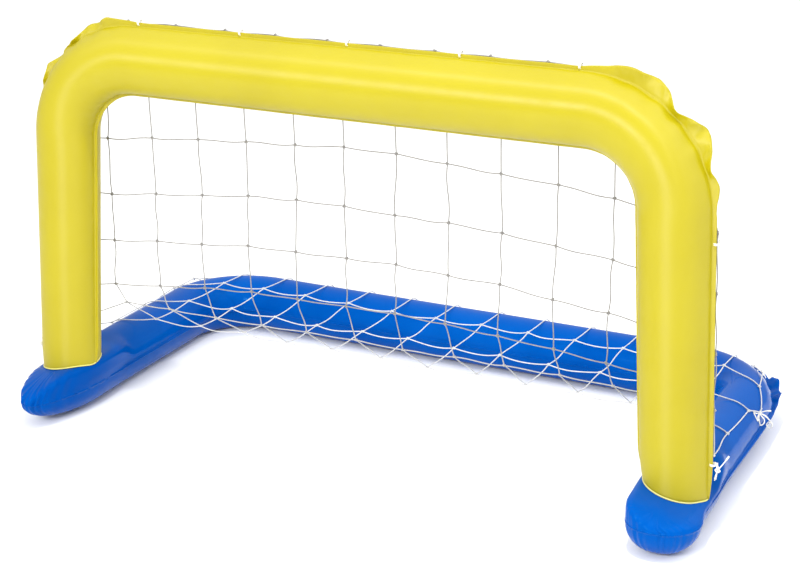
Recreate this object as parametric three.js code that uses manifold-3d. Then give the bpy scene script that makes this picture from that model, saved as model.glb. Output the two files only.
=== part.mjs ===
// Inflatable water polo goal: a yellow arch welded on a blue U-shaped base, with a knotted net.
// Millimetres, +Z up. X runs along the crossbar, -Y is the side that the ball comes from.
// The origin is on the floor, at the middle of the whole goal's width and depth.
import * as THREE from 'three';
import { mergeVertices } from 'three/addons/utils/BufferGeometryUtils.js';
import Module from 'manifold-3d';

const wasm = await Module();
wasm.setup();

// Arch: centre line of the tube and its radii
const postSpacing = 1200;
const crossbarHeight = 726;
const archBend = 160;
const crossbarRadius = 60.3;
const postFootRadius = 57;
const postSplayDegrees = 3;

// Base: centre line of the tube and its radius. Its side tubes lie a little outside the posts' feet,
// and end in long round feet in front of the posts.
const baseDepth = 578;
const baseBend = 148;
const baseRadius = 57.7;
const footOutset = 3.5;
const footReach = 148;
const footLength = 100;

// Sheets and their welded seams
const sheet = 1;
const weldGap = 0.3;
const flangeWidth = 12;
const innerFlange = 6;
const footFlange = 5;
const footFlangeHeight = 121;
const saddleClearance = 0.8;
const saddleDepth = 14;
const ruffleWidth = 22;
const ruffleWidthWave = 6;
const ruffleHeight = 9;
const ruffleLean = 16;
const cornerRuffleHeight = 6;
const cornerFlangeLift = 8;
const puckerDepth = 4;
const footPucker = 2;
const ruffleStartShare = 0.1;
const bodyWaveShare = 0.15;
const bodyWavePower = 6;
const puckerPower = 8;

// Net. Rows and edge knots on the posts are placed between the base's top and the crossbar's middle,
// floor rows between the arch and the rear tube, side knots along the straight part of the side tubes.
const cord = 2.2;
const netShift = 10;
const netClearance = 3.8;
const netTolerance = 0.7;
const curtainBehind = 70;
const rowDrop = 45.5;
const bendRowBehind = 104;
const bendRowHeight = 203;
const seamEdgeRise = 24;
const floorRises = [16, 11, 10];
const columnShare = 0.0859;
const rowShares = [0.7747, 0.5943, 0.4335, 0.2825];
const edgeShares = [0.6964, 0.525, 0.3519, 0.187, 0.0532];
const floorShares = [0.3651, 0.5869, 0.8372];
const sideEdgeShares = [0.5419, 0.9023];
const cornerEdgeShare = 0.7;
const topCornerDegrees = 24;
const topBendDegrees = 45;

// Ties through eyelets in the seams
const tieCord = 2;
const tieRadius = 6.5;
const tieShift = 3;
const eyeletRadius = 2.4;
const tieKnotRadius = 2.9;
const tailLength = 12;
const tailRadius = 1.1;
const knotLiftShare = 0.3;
const tailLeanShare = 0.25;
const crossbarTieShare = 0.973;
const rearTieShare = 0.8788;
const upperTieShare = 0.667;
const footTieShare = 0.0271;
const sideTieShare = 0.8837;
const cornerTieStep = 7;

// Valves
const valveFlangeRadius = 16;
const valveFlangeThickness = 1.3;
const neckRadius = 6.5;
const neckWall = 2;
const neckDepth = 14;
const rimHeight = 3;
const valveHoleClearance = 1;
const plugHeadRadius = 7.2;
const plugHeadThickness = 2.6;
const plugStemLength = 8;
const flapThickness = 0.9;
const strapWidth = 4;
const strapThickness = 1;
const runningGap = 0.3;
const archValveShare = 0.4433;
const baseValveShare = 0.8996;
const baseValveTiltDegrees = 45;

// Where the ruffles' waves start on each bend, other than the arch's right one
const leftArchPhaseDegrees = 180;
const leftBasePhaseDegrees = 198;
const rightBasePhaseDegrees = 155;

// Counts
const quarterSteps = 6;
const bendSteps = 18;
const ruffleWaves = 4;
const capSteps = 12;
const saddleSides = 36;
const columns = 14;
const fineSteps = 24;
const tautRounds = 60;
const tieCount = 5;
const tieSides = 4;
const tieSteps = 8;
const eyeletSides = 6;
const valveSides = 12;
const mergeTolerance = 1e-4;

const yellow = { color: 0xf2dc2e, roughness: 0.42, metalness: 0 };
const blue = { color: 0x0a4fc4, roughness: 0.3, metalness: 0 };
const white = { color: 0xf1efe8, roughness: 0.85, metalness: 0 };
const clearPlastic = { color: 0xe4e8ea, roughness: 0.35, metalness: 0 };

// Places that follow from the driving dimensions
const flatShare = Math.cos(Math.PI / 2 / quarterSteps);
const baseHeight = baseRadius * flatShare;
const baseTop = baseHeight + baseRadius;
const splay = THREE.MathUtils.degToRad(postSplayDegrees);
const leftArchPhase = THREE.MathUtils.degToRad(leftArchPhaseDegrees);
const leftBasePhase = THREE.MathUtils.degToRad(leftBasePhaseDegrees);
const rightBasePhase = THREE.MathUtils.degToRad(rightBasePhaseDegrees);
const tieReach = Math.sqrt(tieRadius ** 2 - tieShift ** 2);
const borderLift = tieShift + tieRadius - tieCord - cord;
const columnPitch = columnShare * postSpacing;
const sideEdgeRises = [seamEdgeRise, borderLift];

const postDirection = new THREE.Vector3(Math.sin(splay), 0, -Math.cos(splay));
const postOut = new THREE.Vector3(Math.cos(splay), 0, Math.sin(splay));
const archBendCentre = new THREE.Vector3(postSpacing / 2 - archBend, 0, crossbarHeight - archBend);
const postTop = archBendCentre.clone().addScaledVector(postOut, archBend);
const footDrop = postTop.z - baseHeight;
const sideTube = postTop.x + Math.tan(splay) * footDrop + footOutset;
const sideBendCentre = new THREE.Vector3(sideTube - baseBend, baseDepth - baseBend, baseHeight);

const up = new THREE.Vector3(0, 0, 1);
const rearwards = new THREE.Vector3(0, 1, 0);
const rightwards = new THREE.Vector3(1, 0, 0);

// The seams' lateral axes: the arch's seam lies in an upright plane, the base's in a level one
const archLateral = rearwards;
const baseLateral = up;

const goal = new THREE.Group();

function addMesh(name, geometry, look) {
  const mesh = new THREE.Mesh(geometry, new THREE.MeshStandardMaterial(look));
  mesh.name = name;
  goal.add(mesh);
  return mesh;
}

const mirrorX = (v) => new THREE.Vector3(-v.x, v.y, v.z);
const bell = (t) => Math.sin(Math.PI * THREE.MathUtils.clamp(t, 0, 1));
const postHeight = (share) => THREE.MathUtils.lerp(baseTop, crossbarHeight, share);

// Stations: centre, outward direction in the plane of the seam, radius and seam widths

function station(centre, out, radius, extra = {}) {
  const plain = { widthOut: flangeWidth, widthIn: innerFlange, ripple: 0, lean: 0, pucker: 0 };
  return { centre, out, radius, ...plain, ...extra };
}

const mirrored = (s) => ({ ...s, centre: mirrorX(s.centre), out: mirrorX(s.out) });
const joined = (left, right) => [...left.map(mirrored).reverse(), ...right.slice(1)];

// How the wide outer seam waves up to a height, a quarter turn from share 0 to share 1
function ruffle(share, phase, height, lean) {
  const swell = bell((share - ruffleStartShare) / (1 - 2 * ruffleStartShare));
  const wave = 2 * Math.PI * ruffleWaves * share + phase;
  return {
    widthOut: flangeWidth + swell * (ruffleWidth + ruffleWidthWave * Math.cos(wave)),
    ripple: swell * height * Math.sin(wave),
    lean: swell * lean,
    pucker: (swell * puckerDepth * (1 - Math.cos(wave))) / 2,
  };
}

function crossbarStation(along) {
  return station(new THREE.Vector3(along, 0, crossbarHeight), up, crossbarRadius);
}

function archBendAt(share, phase, lean) {
  const angle = THREE.MathUtils.lerp(Math.PI / 2, splay, share);
  const out = new THREE.Vector3(Math.cos(angle), 0, Math.sin(angle));
  const centre = archBendCentre.clone().addScaledVector(out, archBend);
  return station(centre, out, crossbarRadius, ruffle(share, phase, ruffleHeight, lean));
}

// The right post at a height above the floor
function postAt(height) {
  const share = (postTop.z - height) / footDrop;
  const centre = postTop.clone().addScaledVector(postDirection, (share * footDrop) / Math.cos(splay));
  return station(centre, postOut, THREE.MathUtils.lerp(crossbarRadius, postFootRadius, share));
}

function archHalf(phase, lean) {
  const stations = [crossbarStation(0), crossbarStation(archBendCentre.x / 2)];
  for (let i = 0; i <= bendSteps; i++) stations.push(archBendAt(i / bendSteps, phase, lean));
  stations.push(postAt((postTop.z + footFlangeHeight) / 2), postAt(footFlangeHeight));
  const foot = postAt(baseHeight);
  foot.widthOut = footFlange / 2;
  foot.widthIn = footFlange / 2;
  foot.trimmed = true;
  stations.push(foot);
  return stations;
}

function rearStation(along) {
  return station(new THREE.Vector3(along, baseDepth, baseHeight), rearwards, baseRadius);
}

function sideStation(behind) {
  return station(new THREE.Vector3(sideTube, behind, baseHeight), rightwards, baseRadius);
}

function baseBendAt(share, phase) {
  const angle = (share * Math.PI) / 2;
  const out = new THREE.Vector3(Math.sin(angle), Math.cos(angle), 0);
  const centre = sideBendCentre.clone().addScaledVector(out, baseBend);
  const waves = ruffle(share, phase, cornerRuffleHeight, cornerFlangeLift);
  return station(centre, out, baseRadius, waves);
}

function baseHalf(phase) {
  const stations = [rearStation(0), rearStation(sideBendCentre.x / 2)];
  for (let i = 0; i <= bendSteps; i++) stations.push(baseBendAt(i / bendSteps, phase));
  const front = footLength - footReach;
  const end = sideStation(front);
  end.widthOut = footFlange;
  end.widthIn = footFlange;
  stations.push(sideStation((sideBendCentre.y + front) / 2), end);
  return stations;
}

const archStations = joined(archHalf(leftArchPhase, ruffleLean), archHalf(0, 0));
const baseStations = joined(baseHalf(leftBasePhase), baseHalf(rightBasePhase));

// Closed lofts: rings of equal count, joined in order

// A ring's points as seen along its own normal
function flattened(ring) {
  const across = ring[Math.floor(ring.length / 3)].clone().sub(ring[0]).normalize();
  const normal = new THREE.Vector3();
  for (let i = 1; i < ring.length - 1; i++) {
    const a = ring[i].clone().sub(ring[0]);
    const b = ring[i + 1].clone().sub(ring[0]);
    normal.add(a.cross(b));
  }
  normal.normalize();
  const aside = normal.cross(across).normalize();
  return ring.map((v) => new THREE.Vector2(v.dot(across), v.dot(aside)));
}

function indexed(positions, faces) {
  const geometry = new THREE.BufferGeometry();
  geometry.setAttribute('position', new THREE.Float32BufferAttribute(positions, 3));
  geometry.setIndex(faces);
  return geometry;
}

// From the point backFrom on, a ring comes back along the sheet's inner face, and its quads are cut
// along the other diagonal, so that both faces of the sheet bend alike.
function sideFaces(ringCount, count, { loop, ringClosed, backFrom }) {
  const faces = [];
  const ringSpan = loop ? ringCount : ringCount - 1;
  const pointSpan = ringClosed ? count : count - 1;
  for (let i = 0; i < ringSpan; i++) {
    const next = (i + 1) % ringCount;
    for (let k = 0; k < pointSpan; k++) {
      const after = (k + 1) % count;
      const corners = [i * count + k, next * count + k, next * count + after, i * count + after];
      if (k >= backFrom) corners.push(corners.shift());
      const [a, b, c, d] = corners;
      faces.push(a, b, c, a, c, d);
    }
  }
  return faces;
}

function endFaces(rings) {
  const faces = [];
  const start = (rings.length - 1) * rings[0].length;
  for (const [a, b, c] of THREE.ShapeUtils.triangulateShape(flattened(rings[0]), [])) {
    faces.push(a, b, c);
  }
  for (const [a, b, c] of THREE.ShapeUtils.triangulateShape(flattened(rings[rings.length - 1]), [])) {
    faces.push(start + a, start + c, start + b);
  }
  return faces;
}

function lofted(rings, { loop = false, ringClosed = true, flip = false, backFrom }) {
  const positions = rings.flat().flatMap((v) => [v.x, v.y, v.z]);
  const faces = sideFaces(rings.length, rings[0].length, { loop, ringClosed, backFrom });
  if (!loop) faces.push(...endFaces(rings));
  if (flip) faces.reverse();
  return indexed(positions, faces);
}

// Manifold solids for the cuts and joins

function solidOf(geometry) {
  const plain = geometry.clone();
  plain.deleteAttribute('normal');
  plain.deleteAttribute('uv');
  const merged = mergeVertices(plain, mergeTolerance);
  return new wasm.Manifold(new wasm.Mesh({
    numProp: 3,
    vertProperties: merged.attributes.position.array,
    triVerts: new Uint32Array(merged.index.array),
  }));
}

function geometryOf(solid) {
  const mesh = solid.getMesh();
  return indexed(mesh.vertProperties, Array.from(mesh.triVerts));
}

// A point of a seam tube: across is the offset outwards, aside is the offset along the lateral axis
function seamPoint(s, lateral, across, aside) {
  const reach = THREE.MathUtils.clamp((across - s.radius) / s.widthOut, 0, 1);
  const body = THREE.MathUtils.clamp(across / s.radius, 0, 1) ** bodyWavePower;
  const wave = reach * (s.ripple + s.lean) + body * s.ripple * bodyWaveShare;
  return s.centre.clone().addScaledVector(s.out, across).addScaledVector(lateral, aside + wave);
}

// Radius towards the seam, drawn in where the seam puckers: towards is the cosine of the turn to it
const puckered = (s, towards) => s.radius - s.pucker * Math.max(0, towards) ** puckerPower;

// Arch: two yellow panels, each half a tube with a seam flange on both edges

// Lower end of the post, levelled beside the base tube's upper half
function levelled(point) {
  const side = new THREE.Vector3(Math.sign(point.x) * postDirection.x, 0, postDirection.z);
  return point.addScaledVector(side, (baseHeight + saddleDepth - point.z) / side.z);
}

// The room of a side tube, which cuts the post's foot into a saddle
function saddleCutter(hand) {
  const radius = baseRadius + saddleClearance;
  const length = 4 * postFootRadius;
  const cutter = new THREE.CylinderGeometry(radius, radius, length, saddleSides);
  return solidOf(cutter.translate(hand * sideTube, 0, baseHeight));
}

function archRing(s, side) {
  const ring = [];
  const flat = weldGap / 2;
  const at = (across, aside) => {
    const point = seamPoint(s, archLateral, across, side * aside);
    ring.push(s.trimmed ? levelled(point) : point);
  };
  at(-s.radius - s.widthIn, flat + sheet);
  for (let k = 2 * quarterSteps; k >= 0; k--) {
    const turn = (k * Math.PI) / 2 / quarterSteps;
    const radius = puckered(s, Math.cos(turn));
    at(radius * Math.cos(turn), flat + sheet + (radius - sheet) * Math.sin(turn));
  }
  at(s.radius + s.widthOut, flat + sheet);
  at(s.radius + s.widthOut, flat);
  for (let k = 0; k <= 2 * quarterSteps; k += 2) {
    const turn = (k * Math.PI) / 2 / quarterSteps;
    const radius = puckered(s, Math.cos(turn)) - sheet;
    at(radius * Math.cos(turn), flat + radius * Math.sin(turn));
  }
  at(-s.radius - s.widthIn, flat);
  return ring;
}

function archPanel(side) {
  const rings = archStations.map((s) => archRing(s, side));
  const whole = solidOf(lofted(rings, { flip: side > 0, backFrom: 2 * quarterSteps + 3 }));
  return whole.subtract(saddleCutter(-1)).subtract(saddleCutter(1));
}

// Base: two blue panels, each a ribbed loop round the centre line with rounded feet

// Half a section from the crown to the seam's edge, in the direction out. The bottom panel's is
// flat below, where it lies on the floor.
function baseRib(s, out, width, side, pucker) {
  const rib = [];
  const ribStation = { ...s, out, widthOut: width, pucker };
  const flat = weldGap / 2;
  const lowest = side < 0 ? baseHeight : Infinity;
  const at = (across, aside) => {
    rib.push(seamPoint(ribStation, baseLateral, across, side * aside));
  };
  for (let k = 0; k <= quarterSteps; k++) {
    const turn = (k * Math.PI) / 2 / quarterSteps;
    const radius = puckered(ribStation, Math.sin(turn));
    at(radius * Math.sin(turn), Math.min(flat + sheet + (radius - sheet) * Math.cos(turn), lowest));
  }
  at(s.radius + width, flat + sheet);
  at(s.radius + width, flat);
  for (let k = quarterSteps; k >= 0; k -= 2) {
    const turn = (k * Math.PI) / 2 / quarterSteps;
    const radius = puckered(ribStation, Math.sin(turn)) - sheet;
    at(radius * Math.sin(turn), Math.min(flat + radius * Math.cos(turn), lowest - sheet));
  }
  return rib;
}

// Ribs round one rounded foot, from the outward side to the inward side or back, drawn out forwards
function footRibs(s, side) {
  const ribs = [];
  const plain = { ...s, ripple: 0, lean: 0 };
  for (let i = 1; i < capSteps; i++) {
    const direction = s.out.clone().applyAxisAngle(baseLateral, (-i * Math.PI) / capSteps);
    direction.y *= footLength / baseRadius;
    const width = footFlange / direction.length();
    ribs.push(baseRib(plain, direction, width, side, i % 2 ? footPucker : 0));
  }
  return ribs;
}

function basePanel(side) {
  const first = baseStations[0];
  const last = baseStations[baseStations.length - 1];
  const outer = baseStations.map((s) => baseRib(s, s.out, s.widthOut, side, s.pucker));
  const inner = baseStations.map((s) => {
    const calm = { ...s, ripple: 0, lean: 0 };
    return baseRib(calm, s.out.clone().negate(), s.widthIn, side, 0);
  });
  const leftFoot = { ...first, out: first.out.clone().negate() };
  const ribs = [...outer, ...footRibs(last, side), ...inner.reverse(), ...footRibs(leftFoot, side)];
  const shape = { loop: true, ringClosed: false, flip: side < 0, backFrom: quarterSteps + 2 };
  return solidOf(lofted(ribs, shape));
}

// Ties: where they sit on a seam, their eyelets and their own shape

// Frame at a seam's outer edge: out points off the edge, side away from the seam's plane
function seamFrame(s, lateral) {
  const edge = seamPoint(s, lateral, s.radius + s.widthOut, 0);
  const root = seamPoint(s, lateral, s.radius + s.widthOut - tieReach, 0);
  const out = edge.clone().sub(root).normalize();
  const along = out.clone().cross(lateral).normalize();
  const side = along.clone().cross(out).normalize();
  return { edge, out, side, along };
}

const handed = (s, hand) => (hand > 0 ? s : mirrored(s));
const postFrame = (height, hand) => seamFrame(handed(postAt(height), hand), archLateral);
const sideFrame = (behind, hand) => seamFrame(handed(sideStation(behind), hand), baseLateral);

// The base's bend with its seam as it waves on either side
function cornerFrame(share, hand) {
  const phase = hand > 0 ? rightBasePhase : leftBasePhase;
  return seamFrame(handed(baseBendAt(share, phase), hand), baseLateral);
}

// Where the net's border cord runs past a tie
function borderPoint(frame) {
  return frame.edge.clone().addScaledVector(frame.side, borderLift);
}

function placed(geometry, origin, x, y, z) {
  const matrix = new THREE.Matrix4().makeBasis(x, y, z).setPosition(origin);
  return geometry.applyMatrix4(matrix);
}

function eyeletCutter(frame) {
  const hole = frame.edge.clone().addScaledVector(frame.out, -tieReach);
  const cutter = new THREE.CylinderGeometry(eyeletRadius, eyeletRadius, 4 * flangeWidth, eyeletSides);
  return solidOf(placed(cutter, hole, frame.out, frame.side, frame.along));
}

// A cut end of the cord, which leaves the knot along the seam and leans off the edge or back from it
function tailSolid(frame, knotPlace, turn, lean) {
  const heading = frame.along.clone().multiplyScalar(turn).addScaledVector(frame.out, lean).normalize();
  const across = heading.clone().cross(frame.side).normalize();
  const middle = knotPlace.clone().addScaledVector(heading, tailLength / 2);
  const tail = new THREE.CylinderGeometry(tailRadius, tailRadius, tailLength, tieSides);
  return solidOf(placed(tail, middle, across, heading, across.clone().cross(heading)));
}

// A loop of cord through the eyelet, closed by a knot with two cut tails
function tieGeometry(frame, lean) {
  const centre = frame.edge.clone().addScaledVector(frame.side, tieShift);
  const loop = new THREE.TorusGeometry(tieRadius, tieCord / 2, tieSides, tieSteps);
  const lift = frame.side.clone().addScaledVector(frame.out, knotLiftShare).normalize();
  const knotPlace = centre.clone().addScaledVector(lift, tieRadius + tieKnotRadius / 2);
  const knot = new THREE.OctahedronGeometry(tieKnotRadius);
  let solid = solidOf(placed(loop, centre, frame.out, frame.side, frame.along));
  solid = solid.add(solidOf(placed(knot, knotPlace, frame.out, frame.side, frame.along)));
  for (const turn of [-1, 1]) solid = solid.add(tailSolid(frame, knotPlace, turn, lean));
  return geometryOf(solid);
}

const archTies = new Map();
const baseTies = new Map();
const middleTie = (tieCount - 1) / 2;
for (let i = 0; i < tieCount; i++) {
  const share = (i - middleTie) / middleTie;
  const overMouth = crossbarStation(share * crossbarTieShare * archBendCentre.x);
  const behind = rearStation(share * rearTieShare * sideBendCentre.x);
  archTies.set('tie_crossbar_' + (i + 1), seamFrame(overMouth, archLateral));
  baseTies.set('tie_rear_' + (i + 1), seamFrame(behind, baseLateral));
}
for (const [hand, word] of [[-1, 'left'], [1, 'right']]) {
  archTies.set('tie_post_' + word + '_upper', postFrame(postHeight(upperTieShare), hand));
  archTies.set('tie_post_' + word + '_foot', postFrame(postHeight(footTieShare), hand));
  baseTies.set('tie_side_' + word, sideFrame(sideTieShare * sideBendCentre.y, hand));
  baseTies.set('tie_corner_' + word, cornerFrame(cornerTieStep / bendSteps, hand));
}

// Valves: a soft flange with a neck, a plug on a strap, and a flap inside

function valveFrame(centre, normal, axis) {
  return { origin: centre, x: axis, y: normal.clone().cross(axis), z: normal };
}

function latheGeometry(points) {
  const profile = points.map(([radius, height]) => new THREE.Vector2(radius, height));
  profile.push(profile[0].clone());
  return new THREE.LatheGeometry(profile, valveSides).rotateX(Math.PI / 2);
}

// Bends the flange down to follow a tube that runs along the local X axis
function settled(geometry, radius) {
  const p = geometry.attributes.position;
  for (let i = 0; i < p.count; i++) {
    const height = p.getZ(i);
    if (height < 0 || height > valveFlangeThickness + 2 * runningGap) continue;
    p.setZ(i, height - radius + Math.sqrt(radius ** 2 - p.getY(i) ** 2));
  }
  return geometry;
}

function valveBody(tube) {
  const bore = neckRadius - neckWall;
  const top = runningGap + valveFlangeThickness;
  const profile = [
    [bore, rimHeight], [bore, -neckDepth], [neckRadius, -neckDepth],
    [neckRadius, runningGap], [valveFlangeRadius, runningGap],
    [valveFlangeRadius, valveFlangeThickness], [neckRadius, top], [neckRadius, rimHeight],
  ];
  return settled(latheGeometry(profile), tube);
}

function valvePlug() {
  const stem = neckRadius - neckWall - runningGap;
  const seat = rimHeight + runningGap;
  const head = seat + plugHeadThickness;
  const tip = seat - plugStemLength;
  return latheGeometry([
    [0, tip], [stem - sheet, tip], [stem, tip + sheet], [stem, seat],
    [plugHeadRadius, seat], [plugHeadRadius, head - sheet], [plugHeadRadius - sheet, head], [0, head],
  ]);
}

function valveFlap() {
  const disc = new THREE.CylinderGeometry(neckRadius, neckRadius, flapThickness, valveSides);
  return disc.rotateX(Math.PI / 2).translate(0, 0, -neckDepth - runningGap - flapThickness / 2);
}

function valveStrap() {
  const near = plugHeadRadius + runningGap;
  const low = valveFlangeThickness + 2 * runningGap;
  const high = rimHeight + strapThickness;
  const outline = new THREE.Shape([
    new THREE.Vector2(valveFlangeRadius, low),
    new THREE.Vector2(valveFlangeRadius, low + strapThickness),
    new THREE.Vector2(near + 2 * strapThickness, high + strapThickness),
    new THREE.Vector2(near, high + strapThickness),
    new THREE.Vector2(near, high),
    new THREE.Vector2(near + strapThickness, high),
    new THREE.Vector2(near + 2 * strapThickness, low),
  ]);
  const strip = new THREE.ExtrudeGeometry(outline, { depth: strapWidth, bevelEnabled: false });
  return strip.translate(0, 0, -strapWidth / 2).rotateX(Math.PI / 2);
}

function valveHole(frame) {
  const radius = neckRadius + valveHoleClearance;
  const cutter = new THREE.CylinderGeometry(radius, radius, 2 * neckDepth, valveSides);
  return solidOf(placed(cutter.rotateX(Math.PI / 2), frame.origin, frame.x, frame.y, frame.z));
}

function addValve(word, frame, tube) {
  const pieces = { body: valveBody(tube), plug: valvePlug(), flap: valveFlap(), strap: valveStrap() };
  for (const [piece, geometry] of Object.entries(pieces)) {
    const name = word + '_valve_' + piece;
    addMesh(name, placed(geometry, frame.origin, frame.x, frame.y, frame.z), clearPlastic);
  }
}

// On the back of the left post
function archValveFrame() {
  const s = mirrored(postAt(postHeight(archValveShare)));
  const centre = s.centre.clone().addScaledVector(rearwards, s.radius + weldGap / 2);
  const axis = s.out.clone().cross(rearwards).normalize();
  return { frame: valveFrame(centre, rearwards, axis), radius: s.radius };
}

// On the upper back of the rear tube
function baseValveFrame() {
  const tilt = THREE.MathUtils.degToRad(baseValveTiltDegrees);
  const normal = new THREE.Vector3(0, Math.sin(tilt), Math.cos(tilt));
  const centre = new THREE.Vector3(baseValveShare * sideBendCentre.x, baseDepth, baseHeight);
  centre.addScaledVector(rearwards, baseRadius * Math.sin(tilt));
  centre.addScaledVector(up, weldGap / 2 + sheet + (baseRadius - sheet) * Math.cos(tilt));
  return { frame: valveFrame(centre, normal, rightwards), radius: baseRadius };
}

// Net: one grid of knots, every strand kept clear of the tubes

const tubes = [archStations, baseStations];

// Moves a point out of any tube that it would lie in
function clearOfTubes(point) {
  for (const stations of tubes) {
    for (let i = 0; i + 1 < stations.length; i++) {
      const [a, b] = [stations[i], stations[i + 1]];
      const span = new THREE.Line3(a.centre, b.centre);
      const share = span.closestPointToPointParameter(point, true);
      const nearest = span.at(share, new THREE.Vector3());
      const reach = THREE.MathUtils.lerp(a.radius, b.radius, share) + netClearance;
      const away = point.clone().sub(nearest);
      if (away.length() < reach) point = nearest.addScaledVector(away.normalize(), reach);
    }
  }
  return point;
}

// Rows: the top border, the curtain, the bend at its foot, the floor and the rear border
const lastColumn = columns - 1;
const bendRowIndex = rowShares.length + 1;
const lastRow = bendRowIndex + floorShares.length + 1;
const columnPlace = (j) => (j - lastColumn / 2) * columnPitch + netShift;

// Top border where it leaves the crossbar's seam and passes behind a bend
function bendKnot(hand, degrees, inset, behind) {
  const angle = THREE.MathUtils.degToRad(degrees);
  const reach = archBend + inset;
  return new THREE.Vector3(
    hand * (archBendCentre.x + reach * Math.cos(angle)),
    behind,
    archBendCentre.z + reach * Math.sin(angle),
  );
}

// Top border, on the crossbar's seam and then round the back of each bend
function topKnot(j) {
  const along = columnPlace(j);
  const hand = Math.sign(along);
  if (j === 0 || j === lastColumn) {
    return bendKnot(hand, topCornerDegrees, crossbarRadius / 2, crossbarRadius);
  }
  if (j === 1 || j === lastColumn - 1) return bendKnot(hand, topBendDegrees, 0, curtainBehind);
  const flangeReach = archBend + crossbarRadius + flangeWidth;
  const over = Math.max(0, Math.abs(along) - archBendCentre.x);
  const height = archBendCentre.z + Math.sqrt(flangeReach ** 2 - over ** 2);
  return new THREE.Vector3(along, borderLift, height);
}

// Side border: down the post's seam, then along the side tube and round its corner
function edgeKnot(i, hand) {
  if (i <= edgeShares.length) return borderPoint(postFrame(postHeight(edgeShares[i - 1]), hand));
  if (i === lastRow) return borderPoint(cornerFrame(cornerTieStep / bendSteps, hand));
  const place = i - edgeShares.length - 1;
  if (place < sideEdgeShares.length) {
    const frame = sideFrame(sideEdgeShares[place] * sideBendCentre.y, hand);
    return frame.edge.clone().addScaledVector(frame.side, sideEdgeRises[place]);
  }
  const s = handed(baseBendAt(cornerEdgeShare, 0), hand);
  return s.centre.clone().addScaledVector(s.out, baseRadius).addScaledVector(baseLateral, seamEdgeRise);
}

// Rear border, on the seam of the rear tube and of its bends
function rearKnot(along) {
  const over = Math.abs(along) - sideBendCentre.x;
  if (over < 0) return borderPoint(seamFrame(rearStation(along), baseLateral));
  const angle = Math.asin(over / (baseBend + baseRadius + 2 * flangeWidth));
  return borderPoint(cornerFrame(angle / (Math.PI / 2), Math.sign(along)));
}

function knotPlace(i, j) {
  if (i === 0) return topKnot(j);
  if (j === 0) return edgeKnot(i, -1);
  if (j === lastColumn) return edgeKnot(i, 1);
  const along = columnPlace(j);
  if (i === lastRow) return rearKnot(along);
  if (i === bendRowIndex) return new THREE.Vector3(along, bendRowBehind, bendRowHeight);
  if (i < bendRowIndex) {
    const drop = rowDrop * (along / (postSpacing / 2)) ** 2;
    return new THREE.Vector3(along, curtainBehind, postHeight(rowShares[i - 1]) - drop);
  }
  const row = i - bendRowIndex - 1;
  return new THREE.Vector3(along, floorShares[row] * baseDepth, baseTop + floorRises[row]);
}

// Leaves out the points that lie close to the line between their neighbours
function thinned(path) {
  const last = path.length - 1;
  const chord = new THREE.Line3(path[0], path[last]);
  const offsets = path.map((v) => chord.closestPointToPoint(v, true, new THREE.Vector3()).distanceTo(v));
  const farthest = offsets.indexOf(Math.max(...offsets));
  if (offsets[farthest] < netTolerance) return [path[0], path[last]];
  return [...thinned(path.slice(0, farthest + 1)), ...thinned(path.slice(farthest)).slice(1)];
}

// A strand pulled taut over the tubes, in few points
function strandPath(from, to) {
  let path = [];
  for (let k = 0; k <= fineSteps; k++) path.push(from.clone().lerp(to, k / fineSteps));
  const pushed = path.some((v) => clearOfTubes(v.clone()).distanceTo(v) > netTolerance);
  if (!pushed) return [from, to];
  for (let round = 0; round < tautRounds; round++) {
    path = path.map((v, k) => {
      if (k === 0 || k === fineSteps) return v;
      return clearOfTubes(path[k - 1].clone().lerp(path[k + 1], 1 / 2));
    });
  }
  return thinned(path);
}

// Four corners of a square strand, as signs along its two axes. Strands along rows and along columns
// go round them in opposite ways.
const rowSigns = [[-1, -1], [1, -1], [1, 1], [-1, 1]];
const columnSigns = [[-1, -1], [-1, 1], [1, 1], [1, -1]];
const ends = [-1, 1];

class NetMesh {
  positions = [];
  faces = [];

  addPoint(centre, ...steps) {
    const point = centre.clone();
    for (const [axis, sign] of steps) point.addScaledVector(axis, (sign * cord) / 2);
    this.positions.push(point.x, point.y, point.z);
    return this.positions.length / 3 - 1;
  }

  addQuad([a, b, c, d]) {
    this.faces.push(a, b, c, a, c, d);
  }

  // A knot is a small block: corners are kept by their signs along the row, the column and outwards
  addKnot(centre, alongRow, alongColumn) {
    const u = alongRow.normalize();
    const w = u.clone().cross(alongColumn).normalize();
    const v = w.clone().cross(u).normalize();
    const corners = {};
    for (const a of ends) {
      for (const b of ends) {
        for (const c of ends) corners[[a, b, c]] = this.addPoint(centre, [u, a], [v, b], [w, c]);
      }
    }
    return { centre, w, corners };
  }

  addStrand(from, to, firstFace, lastFace, signs) {
    const path = strandPath(from.centre, to.centre);
    const steps = path.length - 1;
    const rings = [firstFace];
    for (let k = 1; k < steps; k++) {
      const ahead = path[k + 1].clone().sub(path[k - 1]).normalize();
      const face = from.w.clone().lerp(to.w, k / steps);
      const aside = face.clone().cross(ahead).normalize();
      if (signs === columnSigns) aside.negate();
      const outwards = face.addScaledVector(ahead, -face.dot(ahead)).normalize();
      rings.push(signs.map(([p, c]) => this.addPoint(path[k], [aside, p], [outwards, c])));
    }
    rings.push(lastFace);
    for (let k = 0; k < steps; k++) this.addBand(rings[k], rings[k + 1]);
  }

  addBand(near, far) {
    near.forEach((point, c) => {
      const next = (c + 1) % near.length;
      this.addQuad([point, near[next], far[next], far[c]]);
    });
  }
}

const rowFace = (knot, a) => rowSigns.map(([b, c]) => knot.corners[[a, b, c]]);
const columnFace = (knot, b) => columnSigns.map(([a, c]) => knot.corners[[a, b, c]]);
const outerFace = (knot) => rowSigns.map(([a, b]) => knot.corners[[a, b, 1]]);
const innerFace = (knot) => columnSigns.map(([a, b]) => knot.corners[[a, b, -1]]);

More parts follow.
